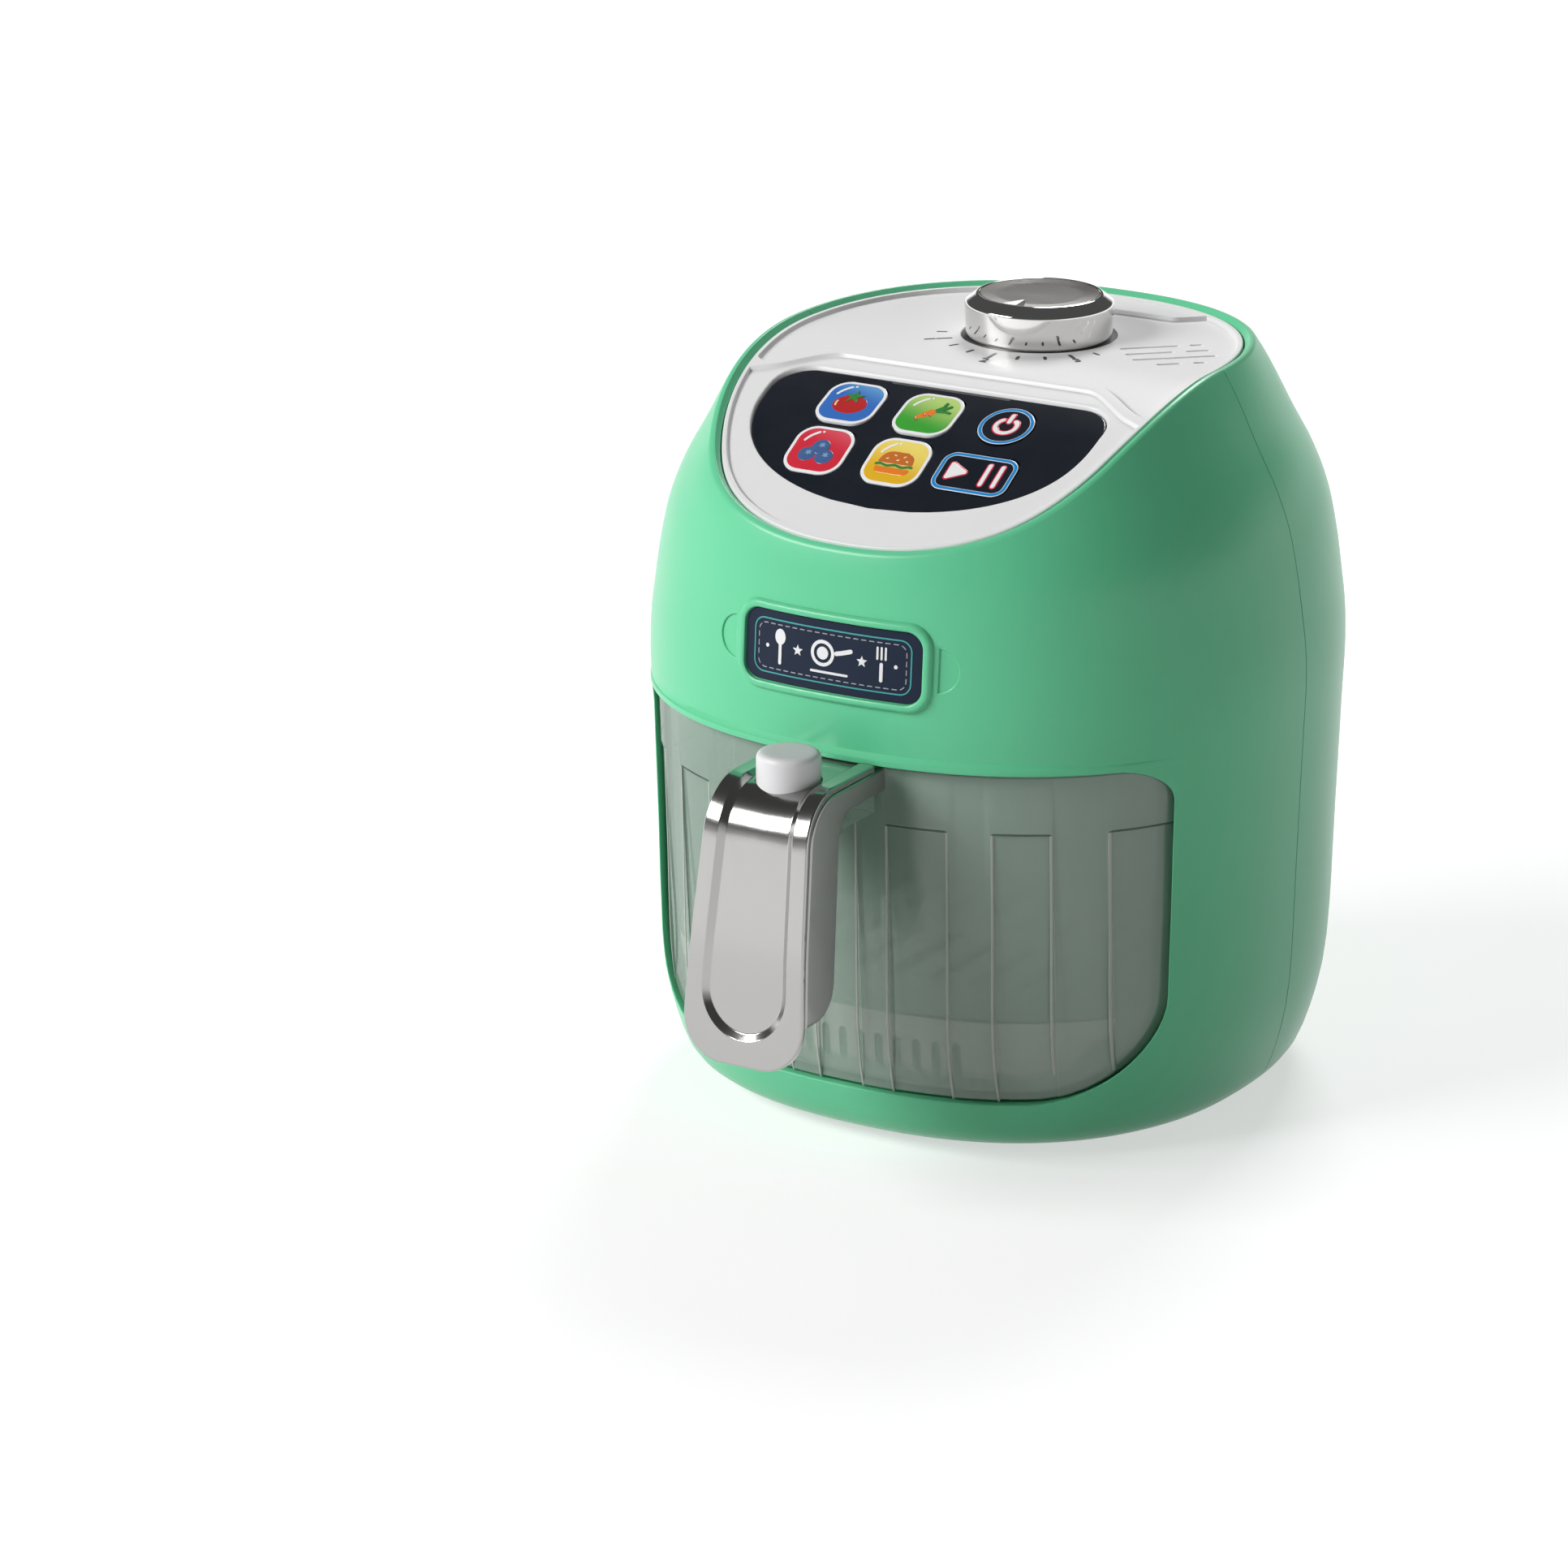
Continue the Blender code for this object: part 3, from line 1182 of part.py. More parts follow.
def tube(name, points, radius, resolution):
    """Round tube along points, as a mesh with filled ends."""
    curve = bpy.data.curves.new(name, "CURVE")
    curve.dimensions = "3D"
    curve.bevel_depth = radius
    curve.bevel_resolution = resolution
    curve.use_fill_caps = True
    spline = curve.splines.new("POLY")
    spline.points.add(len(points) - 1)
    for point, place in zip(spline.points, points):
        point.co = (*place, 1)
    guide = bpy.data.objects.new("guide", curve)
    bpy.context.scene.collection.objects.link(guide)
    graph = bpy.context.evaluated_depsgraph_get()
    mesh = bpy.data.meshes.new_from_object(guide.evaluated_get(graph))
    bpy.data.objects.remove(guide, do_unlink=True)
    work = bmesh.new()
    work.from_mesh(mesh)
    bmesh.ops.remove_doubles(work, verts=work.verts, dist=radius / 100)
    return make_object(name, work)


def make_handle_screws():
    head_y = -(body_radius(HANDLE_SCREW_Z) - BASKET_INSET - BASKET_WALL - GAP) + SCREW_HEAD_HEIGHT
    for x, where in zip(HANDLE_SCREW_X, ("left", "right")):
        item = screw(
            "handle_screw_" + where, (x, head_y + GAP, HANDLE_SCREW_Z), (0, -1, 0),
            BASE_SCREW_LENGTH,
        )
        item.parent = basket_joint
        item.location = Vector((x, head_y + GAP, HANDLE_SCREW_Z)) - Vector(basket_joint.location)


# Control panel

def tile_frame(x, y):
    """Matrix on the screen's outer face at a button's middle, its Z square to the face."""
    z = top_height(y) - SCREEN_DROP
    return Matrix.Translation((x, y, z)) @ Matrix.Rotation(top_slope(y), 4, "X")


BUTTONS = {
    "blue_button": (COLUMN_SHIFT - COLUMN_PITCH, ROW_UP_Y, BLUE),
    "green_button": (COLUMN_SHIFT, ROW_UP_Y, LIME),
    "power_button": (COLUMN_SHIFT + COLUMN_PITCH, ROW_UP_Y, NAVY),
    "red_button": (COLUMN_SHIFT - COLUMN_PITCH, ROW_LOW_Y, RED),
    "yellow_button": (COLUMN_SHIFT, ROW_LOW_Y, YELLOW),
    "play_pause_button": (COLUMN_SHIFT + COLUMN_PITCH, ROW_LOW_Y, NAVY),
}


def button_outline(name, grow=0):
    if name == "power_button":
        return circle(POWER_RADIUS + grow)
    if name == "play_pause_button":
        return rectangle(PLAY_WIDTH + 2 * grow, PLAY_LENGTH + 2 * grow, PLAY_RADIUS + grow)
    return rectangle(TILE_WIDTH + 2 * grow, TILE_LENGTH + 2 * grow, TILE_RADIUS + grow)


def button_hole(name, grow=GAP):
    x, y, _ = BUTTONS[name]
    hole = prism("hole", button_outline(name, grow), -MAT_DEPTH, OVERRUN)
    hole.data.transform(tile_frame(x, y))
    return hole


def arc_slot(name, start, end, width, low, high):
    """Slot with round ends between two points in plan."""
    run = Vector(end) - Vector(start)
    middle = (Vector(start) + Vector(end)) / 2
    outline = rectangle(run.length + width, width, width / 2 - GAP / 2, steps=3)
    spin = Matrix.Rotation(math.atan2(run.y, run.x), 2)
    outline = [tuple(middle + spin @ Vector(point)) for point in outline]
    return prism(name, outline, low, high)


def make_panel():
    panel = body_loft("top_panel", SHELL_WALL + GAP)
    cut(panel, band_under_top("sheet", PANEL_DROP, PANEL_DROP + PANEL_THICKNESS), "INTERSECT")
    inside = SHELL_WALL + GAP + PANEL_RIM
    bezel = layer_loft("bezel", inside)
    cut(bezel, block_over_top("over", PANEL_DROP + BEZEL_DEPTH), "INTERSECT")
    cut(bezel, box("ahead", (-REACH, -REACH, 0), (REACH, FIELD_FRONT_Y, 2 * REACH)), "INTERSECT")
    cut(panel, bezel)
    field = layer_loft("field", inside)
    cut(field, block_over_top("over", PANEL_DROP + FIELD_DEPTH), "INTERSECT")
    cut(field, box("behind", (-REACH, FIELD_FRONT_Y, 0), (REACH, REACH, 2 * REACH)), "INTERSECT")
    tab = [
        (-TAB_HALF_WIDTH, TAB_FRONT_Y),
        (TAB_HALF_WIDTH, TAB_FRONT_Y),
        (TAB_HALF_WIDTH + TAB_FLARE, TAB_FRONT_Y + TAB_FLARE),
        (TAB_HALF_WIDTH + TAB_FLARE, REACH),
        (-TAB_HALF_WIDTH - TAB_FLARE, REACH),
        (-TAB_HALF_WIDTH - TAB_FLARE, TAB_FRONT_Y + TAB_FLARE),
    ]
    cut(field, prism("tab", tab, 0, 2 * REACH))
    cut(panel, field)
    step = layer_loft("step", inside)
    cut(step, block_over_top("over", PANEL_DROP + TAB_DEPTH), "INTERSECT")
    cut(step, box("behind", (-REACH, TAB_FRONT_Y - OVERRUN, 0), (REACH, REACH, 2 * REACH)), "INTERSECT")
    cut(panel, step)
    ridge = ridge_shape()
    cut(panel, ridge, "UNION")
    recess = prism("recess", screen_outline(), 0, 2 * REACH)
    cut(recess, block_over_top("over", PANEL_DROP + SCREEN_RECESS), "INTERSECT")
    cut(panel, recess)
    for name in BUTTONS:
        cut(panel, button_hole(name))
    surface = TOP_HEIGHT - PANEL_DROP - FIELD_DEPTH
    well_low = surface - DIAL_WELL_DEPTH
    cut(
        panel,
        turned(
            "well",
            [(DIAL_RADIUS + DIAL_WELL_GAP, well_low), (DIAL_RADIUS + DIAL_WELL_GAP, REACH * 2)],
            (0, DIAL_Y),
        ),
    )
    cut(
        panel,
        turned(
            "bush_hole",
            [(BUSH_RADIUS + GAP, well_low - PANEL_THICKNESS), (BUSH_RADIUS + GAP, REACH * 2)],
            (0, DIAL_Y), SMALL_STEPS * 2,
        ),
    )
    cut(panel, merge_all("ticks", [tick_mark(index, surface) for index in range(TICK_COUNT)]))
    cut(panel, merge_all("slots", speaker_slots(surface - PANEL_THICKNESS - OVERRUN, surface + OVERRUN)))
    return finish(panel, WHITE, 0.38, smooth=25)


def ridge_line(side):
    """Middle of the raised rib, from the centre line to its end by the rim."""
    corner = (side * RIDGE_END_X, RIDGE_Y)
    start = Vector((side * RIDGE_HALF_SPAN, RIDGE_Y))
    end = Vector((side * RIDGE_END_X, RIDGE_END_Y))
    points = [Vector((0, RIDGE_Y))]
    for step in range(CORNER_STEPS + 1):
        t = step / CORNER_STEPS
        points.append(start * (1 - t) ** 2 + Vector(corner) * 2 * t * (1 - t) + end * t ** 2)
    return points


def ridge_shape():
    """Rib across the panel, as high as its rim, with its ends bent forward to meet the rim."""
    right = ridge_line(1)
    line = [Vector((-point.x, point.y)) for point in reversed(right)] + right[1:]
    sides = []
    for index, point in enumerate(line):
        before = line[max(index - 1, 0)]
        after = line[min(index + 1, len(line) - 1)]
        along = (after - before).normalized()
        sides.append(Vector((-along.y, along.x)) * RIDGE_WIDTH / 2)
    pairs = list(zip(line, sides))
    outline = [tuple(point + away) for point, away in pairs]
    outline += [tuple(point - away) for point, away in reversed(pairs)]
    ridge = prism("ridge", outline, 0, 2 * REACH)
    sheet = band_under_top("sheet", PANEL_DROP, PANEL_DROP + PANEL_THICKNESS / 2)
    return cut(ridge, sheet, "INTERSECT")


def tick_mark(index, surface):
    """Shallow mark on the panel round the dial; every third one is longer."""
    turn = math.tau * index / TICK_COUNT
    length = TICK_LONG if index % 3 == 0 else TICK_LENGTH
    out = Vector((math.cos(turn), math.sin(turn)))
    centre = Vector((0, DIAL_Y))
    start = centre + out * (TICK_RING_RADIUS - length / 2)
    end = centre + out * (TICK_RING_RADIUS + length / 2)
    across = Vector((-out.y, out.x)) * TICK_WIDTH / 2
    outline = [tuple(start - across), tuple(end - across), tuple(end + across), tuple(start + across)]
    mark = prism("tick", outline, 0, 2 * REACH)
    if min(start.y, end.y) < FIELD_FRONT_Y + TICK_LONG or start.y < BEND_START_Y or end.y < BEND_START_Y:
        return cut(mark, block_over_top("over", PANEL_DROP + FIELD_DEPTH + TICK_DEPTH), "INTERSECT")
    return cut(
        mark, box("over", (-REACH, -REACH, surface - TICK_DEPTH), (REACH, REACH, REACH * 2)),
        "INTERSECT",
    )


def speaker_slots(low, high):
    along = Vector((math.cos(SLOT_TURN), math.sin(SLOT_TURN)))
    across = Vector((along.y, -along.x))
    centre = Vector((SPEAKER_X, SPEAKER_Y))
    slots = []
    for row, start, end in SLOT_ROW_SHARES:
        middle = centre + across * row * SLOT_ROW_PITCH
        slots.append(arc_slot(
            "slot", middle + along * start * SLOT_SPAN, middle + along * end * SLOT_SPAN, SLOT_WIDTH,
            low, high,
        ))
    return slots


def make_screen():
    screen = prism("screen_cover", screen_outline(GAP), 0, 2 * REACH)
    cut(screen, band_under_top("sheet", SCREEN_DROP, SCREEN_DROP + SCREEN_THICKNESS), "INTERSECT")
    for name in BUTTONS:
        cut(screen, button_hole(name))
    return finish(screen, NAVY, 0.15)


def make_buttons():
    for name, (x, y, colour) in BUTTONS.items():
        cap = prism(name, button_outline(name), -BUTTON_DEPTH - BUTTON_FLANGE / 2, BUTTON_PROUD)
        flange = prism(
            "flange", button_outline(name, BUTTON_FLANGE_RIM), -BUTTON_DEPTH - BUTTON_FLANGE,
            -BUTTON_DEPTH,
        )
        cut(cap, flange, "UNION")
        finish(cap, colour, 0.25)
        frame = tile_frame(x, y)
        cap.location = frame.translation
        cap.rotation_euler = frame.to_euler()


def board_frame():
    """Matrix of the plane through both button rows, with Z square to it."""
    middle_y = (ROW_UP_Y + ROW_LOW_Y) / 2
    upper, lower = tile_frame(0, ROW_UP_Y).translation, tile_frame(0, ROW_LOW_Y).translation
    tilt = math.atan2(upper.z - lower.z, upper.y - lower.y)
    return Matrix.Translation((0, middle_y, (upper.z + lower.z) / 2)) @ Matrix.Rotation(tilt, 4, "X")


def make_button_board():
    outline = rectangle(2 * MAT_HALF_WIDTH, 2 * MAT_HALF_LENGTH, TILE_RADIUS)
    mat = prism("button_mat", outline, -MAT_DEPTH - MAT_THICKNESS, -MAT_DEPTH)
    mat.data.transform(board_frame())
    finish(mat, RUBBER, 0.8)
    high = -MAT_DEPTH - MAT_THICKNESS - GAP
    outline = rectangle(2 * (MAT_HALF_WIDTH + BOARD_MARGIN), 2 * MAT_HALF_LENGTH, TILE_RADIUS)
    board = prism("button_board", outline, high - BOARD_THICKNESS, high)
    post_top = SCREEN_DROP - PANEL_DROP - PANEL_THICKNESS - GAP
    for side in (-1, 1):
        place = (side * (MAT_HALF_WIDTH + BOARD_MARGIN / 2), 0)
        post = turned(
            "post", [(BOARD_MARGIN / 3, high - BOARD_THICKNESS / 2), (BOARD_MARGIN / 3, post_top)],
            place, TINY_STEPS,
        )
        cut(board, post, "UNION")
    board.data.transform(board_frame())
    finish(board, BOARD_GREEN, 0.5)


# Dial

def make_dial():
    joint = joint_empty("dial_axis", (0, DIAL_Y, TOP_HEIGHT))
    surface = TOP_HEIGHT - PANEL_DROP - FIELD_DEPTH
    low = surface - DIAL_WELL_DEPTH + GAP
    knob = turned(
        "dial_knob",
        [
            (DIAL_RADIUS, low), (DIAL_RADIUS, DIAL_SHOULDER_Z), (DIAL_TOP_RADIUS, DIAL_TOP_Z),
            (DIAL_TOP_RADIUS - GAP, DIAL_TOP_Z),
        ],
        (0, DIAL_Y),
        ROUND_STEPS * 2,
    )
    disc_top = DIAL_TOP_Z - DIAL_DISC_DROP
    disc_low = disc_top - DIAL_DISC_THICKNESS
    cut(
        knob,
        turned(
            "seat", [(DIAL_DISC_RADIUS + GAP, disc_low - GAP), (DIAL_DISC_RADIUS + GAP, REACH * 2)],
            (0, DIAL_Y), ROUND_STEPS * 2,
        ),
    )
    cut(
        knob,
        turned(
            "socket",
            [(SHAFT_RADIUS + GAP, 0), (SHAFT_RADIUS + GAP, disc_low - DIAL_DISC_THICKNESS * 2)],
            (0, DIAL_Y), SMALL_STEPS * 2,
        ),
    )
    bush_top = TOP_HEIGHT - PANEL_DROP
    cut(
        knob,
        turned(
            "bush_room", [(BUSH_RADIUS + 2 * GAP, 0), (BUSH_RADIUS + 2 * GAP, bush_top + 2 * GAP)],
            (0, DIAL_Y), SMALL_STEPS * 2,
        ),
    )

    disc = turned(
        "dial_disc", [(DIAL_DISC_RADIUS, disc_low), (DIAL_DISC_RADIUS, disc_top)], (0, DIAL_Y),
        ROUND_STEPS * 2,
    )
    base_y = DIAL_Y - DIAL_DISC_RADIUS + POINTER_WIDTH / 4
    wedge = [(-POINTER_WIDTH / 2, base_y), (POINTER_WIDTH / 2, base_y), (0, base_y + POINTER_LENGTH)]
    cut(disc, prism("pointer", wedge, disc_top - POINTER_DEPTH, disc_top + OVERRUN))

    shaft_top = disc_low - DIAL_DISC_THICKNESS * 2 - GAP
    switch_top = surface - DIAL_WELL_DEPTH - PANEL_THICKNESS + FIELD_DEPTH + DIAL_WELL_DEPTH - GAP
    shaft = turned(
        "dial_shaft", [(SHAFT_RADIUS, switch_top - SWITCH_HEIGHT / 2), (SHAFT_RADIUS, shaft_top)],
        (0, DIAL_Y), SMALL_STEPS * 2,
    )
    origin = (0, DIAL_Y, TOP_HEIGHT)
    for item, colour, roughness, metallic in (
        (knob, CHROME, 0.08, 1.0), (disc, SILVER, 0.2, 1.0), (shaft, STEEL, 0.3, 1.0),
    ):
        finish(item, colour, roughness, metallic, origin=origin)
        item.parent = joint
        item.location = (0, 0, 0)

    half = SWITCH_SIDE / 2
    switch = box(
        "rotary_switch", (-half, DIAL_Y - half, switch_top - SWITCH_HEIGHT),
        (half, DIAL_Y + half, switch_top),
    )
    cut(
        switch,
        turned(
            "bush", [(BUSH_RADIUS, switch_top - OVERRUN / 4), (BUSH_RADIUS, bush_top)], (0, DIAL_Y),
            SMALL_STEPS * 2,
        ),
        "UNION",
    )
    cut(
        switch,
        turned(
            "bore",
            [(SHAFT_RADIUS + GAP, switch_top - SWITCH_HEIGHT / 2 - GAP), (SHAFT_RADIUS + GAP, REACH * 2)],
            (0, DIAL_Y), SMALL_STEPS * 2,
        ),
    )
    finish(switch, SILVER, 0.4)


# Speaker, main board, light pipe and wires

def make_speaker():
    panel_low = top_height(SPEAKER_Y - SPEAKER_RADIUS) - PANEL_DROP - PANEL_THICKNESS
    top = panel_low - GAP
    rim = SPEAKER_DEPTH / 4
    centre = (SPEAKER_X, SPEAKER_Y)
    frame = turned(
        "speaker",
        [
            (MAGNET_RADIUS, top - SPEAKER_DEPTH), (SPEAKER_RADIUS - rim, top - rim),
            (SPEAKER_RADIUS, top - rim), (SPEAKER_RADIUS, top),
        ],
        centre,
        SMALL_STEPS * 2,
    )
    cone = [(MAGNET_RADIUS / 2, top - SPEAKER_DEPTH + rim), (SPEAKER_RADIUS - rim, top + OVERRUN)]
    cut(frame, turned("cone", cone, centre, SMALL_STEPS * 2))
    finish(frame, RUBBER, 0.6)
    magnet_top = top - SPEAKER_DEPTH - GAP
    magnet = turned(
        "speaker_magnet", [(MAGNET_RADIUS, magnet_top - MAGNET_HEIGHT), (MAGNET_RADIUS, magnet_top)],
        centre, SMALL_STEPS * 2,
    )
    finish(magnet, STEEL, 0.3, 1.0)


BOARD_Z = WINDOW_HIGH + LINER_GAP + LINER_WALL + STANDOFF_HEIGHT + GAP


def make_main_board():
    board = box(
        "main_board", (-BOARD_HALF_X, -BOARD_HALF_Y, BOARD_Z),
        (BOARD_HALF_X, BOARD_HALF_Y, BOARD_Z + BOARD_THICKNESS),
    )
    places = ((-BOARD_HALF_X / 2, -BOARD_HALF_Y / 2), (BOARD_HALF_X / 3, BOARD_HALF_Y / 3))
    for x, y in places:
        low = BOARD_Z + BOARD_THICKNESS / 2
        chip = box(
            "chip", (x - CHIP_SIDE / 2, y - CHIP_SIDE / 2, low),
            (x + CHIP_SIDE / 2, y + CHIP_SIDE / 2, low + BOARD_THICKNESS / 2 + CHIP_HEIGHT),
        )
        cut(board, chip, "UNION")
    can = (BOARD_HALF_X / 2, -BOARD_HALF_Y / 2, BOARD_Z + BOARD_THICKNESS / 2)
    cut(board, cylinder_along("can", can, (can[0], can[1], can[2] + CHIP_SIDE), CHIP_SIDE / 3), "UNION")
    finish(board, BOARD_GREEN, 0.5)
    top = WINDOW_HIGH + LINER_GAP + LINER_WALL
    pipe = turned(
        "light_pipe",
        [
            (LIGHT_RADIUS * 0.6, WINDOW_HIGH + LINER_GAP),
            (LIGHT_RADIUS, WINDOW_HIGH + LINER_GAP + LIGHT_FLANGE / 2),
            (LIGHT_RADIUS, top + GAP),
            (LIGHT_RADIUS + LIGHT_FLANGE, top + GAP),
            (LIGHT_RADIUS + LIGHT_FLANGE, top + GAP + LIGHT_FLANGE),
            (LIGHT_RADIUS, top + GAP + LIGHT_FLANGE),
            (LIGHT_RADIUS, BOARD_Z - GAP),
        ],
        (0, LIGHT_Y),
        SMALL_STEPS * 2,
    )
    finish(pipe, AMBER, 0.15, alpha=0.6)


def smooth_route(places, points_each=4):
    """Points on a smooth curve through the places of a wire's route."""
    route = []
    for index in range(len(places) - 1):
        p0 = Vector(places[max(index - 1, 0)])
        p1 = Vector(places[index])
        p2 = Vector(places[index + 1])
        p3 = Vector(places[min(index + 2, len(places) - 1)])
        for step in range(points_each):
            t = step / points_each
            a = 2 * p1
            b = (p2 - p0) * t
            c = (2 * p0 - 5 * p1 + 4 * p2 - p3) * t ** 2
            d = (3 * p1 - p0 - 3 * p2 + p3) * t ** 3
            route.append((a + b + c + d) / 2)
    route.append(Vector(places[-1]))
    return route


def make_wires():
    """Leads between the electric parts, each from face to face with a small gap."""
    board_top = BOARD_Z + BOARD_THICKNESS + GAP
    box_front = CELL_Y - CELL_RADIUS - GAP - BOX_WALL - GAP
    rise = 2 * CHIP_SIDE
    battery = [
        (0, BOARD_HALF_Y - CHIP_SIDE, board_top),
        (0, BOARD_HALF_Y - CHIP_SIDE, board_top + CHIP_SIDE),
        (0, (BOARD_HALF_Y + box_front) / 2, board_top + rise),
        (0, box_front - CHIP_SIDE / 2, board_top + CHIP_SIDE + CHIP_HEIGHT),
        (0, box_front, board_top + CHIP_SIDE),
    ]
    speaker_stack = PANEL_THICKNESS + SPEAKER_DEPTH + MAGNET_HEIGHT + 3 * GAP
    magnet_low = top_height(SPEAKER_Y - SPEAKER_RADIUS) - PANEL_DROP - speaker_stack
    speaker = [
        (BOARD_HALF_X - CHIP_SIDE / 2, 0, board_top),
        (BOARD_HALF_X - CHIP_SIDE / 2, 0, board_top + CHIP_SIDE),
        (SPEAKER_X + CHIP_SIDE, SPEAKER_Y, (board_top + magnet_low) / 2),
        (SPEAKER_X, SPEAKER_Y, magnet_low - CHIP_SIDE),
        (SPEAKER_X, SPEAKER_Y, magnet_low),
    ]
    low = -MAT_DEPTH - MAT_THICKNESS - 2 * GAP - BOARD_THICKNESS
    under = board_frame() @ Vector((0, 0, low))
    below = board_frame() @ Vector((0, 0, low - CHIP_SIDE))
    buttons = [
        (0, -BOARD_HALF_Y + CHIP_SIDE, board_top),
        (0, -BOARD_HALF_Y + CHIP_SIDE, board_top + CHIP_SIDE),
        ((0), (below.y - BOARD_HALF_Y + CHIP_SIDE) / 2, (below.z + board_top + CHIP_SIDE) / 2),
        tuple(below),
        tuple(under),
    ]
    for name, places in (("battery_wire", battery), ("speaker_wire", speaker), ("button_wire", buttons)):
        finish(
            tube(name, smooth_route(places), WIRE_RADIUS, 2),
            RED if name == "battery_wire" else RUBBER, 0.5,
        )


# Nameplate

def make_nameplate():
    frame = prism("nameplate_frame", frame_outline(), -REACH, 0, axis="Y")
    cut(frame, shell_layer("outside", FRAME_POCKET - GAP), "INTERSECT")
    cut(frame, layer_loft("proud", -FRAME_PROUD), "INTERSECT")
    floor = FRAME_POCKET - GAP - FRAME_FLOOR
    plate_outline = rectangle(NAMEPLATE_WIDTH, NAMEPLATE_HEIGHT, NAMEPLATE_RADIUS, centre=(0, PLATE_Z))
    inside = prism("inside", plate_outline, -REACH, 0, axis="Y")
    cut(inside, shell_layer("outside", floor), "INTERSECT")
    cut(frame, inside)
    finish(frame, GREEN, 0.32)
    shrunk = rectangle(
        NAMEPLATE_WIDTH - 2 * GAP, NAMEPLATE_HEIGHT - 2 * GAP, NAMEPLATE_RADIUS - GAP,
        centre=(0, PLATE_Z),
    )
    plate = prism("nameplate", shrunk, -REACH, 0, axis="Y")
    cut(plate, shell_layer("outside", floor - GAP), "INTERSECT")
    cut(plate, layer_loft("proud", floor - GAP - NAMEPLATE_THICKNESS), "INTERSECT")
    finish(plate, NAVY, 0.3)


# Battery box, cells and door

def make_battery():
    half = DOOR_HALF_WIDTH
    front = CELL_Y - CELL_RADIUS - GAP - BOX_WALL
    box_body = box(
        "battery_box", (-half - BOX_WALL, front, BOX_LOW - BOX_WALL),
        (half + BOX_WALL, REACH, BOX_HIGH + BOX_WALL),
    )
    cut(box_body, layer_loft("shell_inside", SHELL_WALL + GAP), "INTERSECT")
    cut(
        box_body,
        box("room", (-half + GAP, front + BOX_WALL, BOX_LOW + GAP), (half - GAP, REACH, BOX_HIGH - GAP)),
    )
    finish(box_body, RUBBER, 0.6)

    cell_low = BOX_LOW + GAP + CONTACT_THICKNESS + 2 * GAP
    for index in range(CELL_COUNT):
        x = (index - (CELL_COUNT - 1) / 2) * CELL_PITCH
        cell = turned(
            "battery_%d" % (index + 1),
            [
                (CELL_RADIUS, cell_low),
                (CELL_RADIUS, cell_low + CELL_LENGTH - CELL_NUB_HEIGHT),
                (CELL_NUB_RADIUS, cell_low + CELL_LENGTH - CELL_NUB_HEIGHT),
                (CELL_NUB_RADIUS, cell_low + CELL_LENGTH),
            ],
            (x, CELL_Y),
            SMALL_STEPS * 2,
        )
        finish(cell, COPPER, 0.3, 0.6)
    contact_half = half - 2 * GAP
    contact_y = (CELL_Y - CELL_RADIUS / 2, CELL_Y + CELL_RADIUS / 2)
    for name, low in (
        ("battery_contacts_low", BOX_LOW + 2 * GAP),
        ("battery_contacts_high", BOX_HIGH - 2 * GAP - CONTACT_THICKNESS),
    ):
        strip = box(
            name, (-contact_half, contact_y[0], low),
            (contact_half, contact_y[1], low + CONTACT_THICKNESS),
        )
        finish(strip, STEEL, 0.3, 1.0)

    joint = joint_empty("battery_door_axis", (0, BODY_HALF_WIDTH, (BOX_LOW + BOX_HIGH) / 2))
    door = prism("battery_door", door_outline(GAP), CELL_Y, REACH, axis="Y")
    cut(door, layer_loft("outside", 0), "INTERSECT")
    cut(door, layer_loft("inside", SHELL_WALL))
    door_y = body_radius(BOX_HIGH - DOOR_BOSS_HEIGHT)
    screw_place = BOX_HIGH - DOOR_BOSS_HEIGHT
    head_y = door_y - SHELL_WALL / 3
    cut(
        door,
        cylinder_along(
            "hole", (0, CELL_Y, screw_place), (0, REACH, screw_place), SCREW_HOLE_RADIUS, TINY_STEPS,
        ),
    )
    cut(
        door,
        cylinder_along(
            "sink", (0, head_y - SCREW_HEAD_HEIGHT, screw_place), (0, REACH, screw_place),
            HEAD_HOLE_RADIUS,
        ),
    )
    origin = (0, BODY_HALF_WIDTH, (BOX_LOW + BOX_HIGH) / 2)
    finish(door, GREEN, 0.32, origin=origin)
    door.parent = joint
    door.location = (0, 0, 0)
    door_screw = screw(
        "battery_door_screw", (0, head_y, screw_place), (0, -1, 0), SHELL_WALL + SCREW_HEAD_HEIGHT,
    )
    door_screw.parent = joint
    door_screw.location = Vector((0, head_y, screw_place)) - Vector(joint.location)


make_front_shell()
make_rear_shell()
make_base_plate()
make_feet()
make_body_screws()
make_liner()
make_basket()
make_tray()
make_handle_body()
make_handle_plate()
make_inlay()
make_release()
make_release_spring()
make_handle_screws()
make_panel()
make_screen()
make_buttons()
make_button_board()
make_dial()
make_speaker()
make_main_board()
make_wires()
make_nameplate()
make_battery()
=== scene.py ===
# %% [markdown]
# # Toy air fryer, dressed for its picture
#
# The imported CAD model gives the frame: where each part sits and how it moves. This lesson builds the
# skins that the eye meets on top of it: the green shells, the white panel with its screen and keys,
# the chrome dial, the bright handle and the smoky basket.

# %% Load the frame
import math

import bmesh
import bpy
import numpy as np
from mathutils import Matrix, Vector
from mathutils.geometry import delaunay_2d_cdt


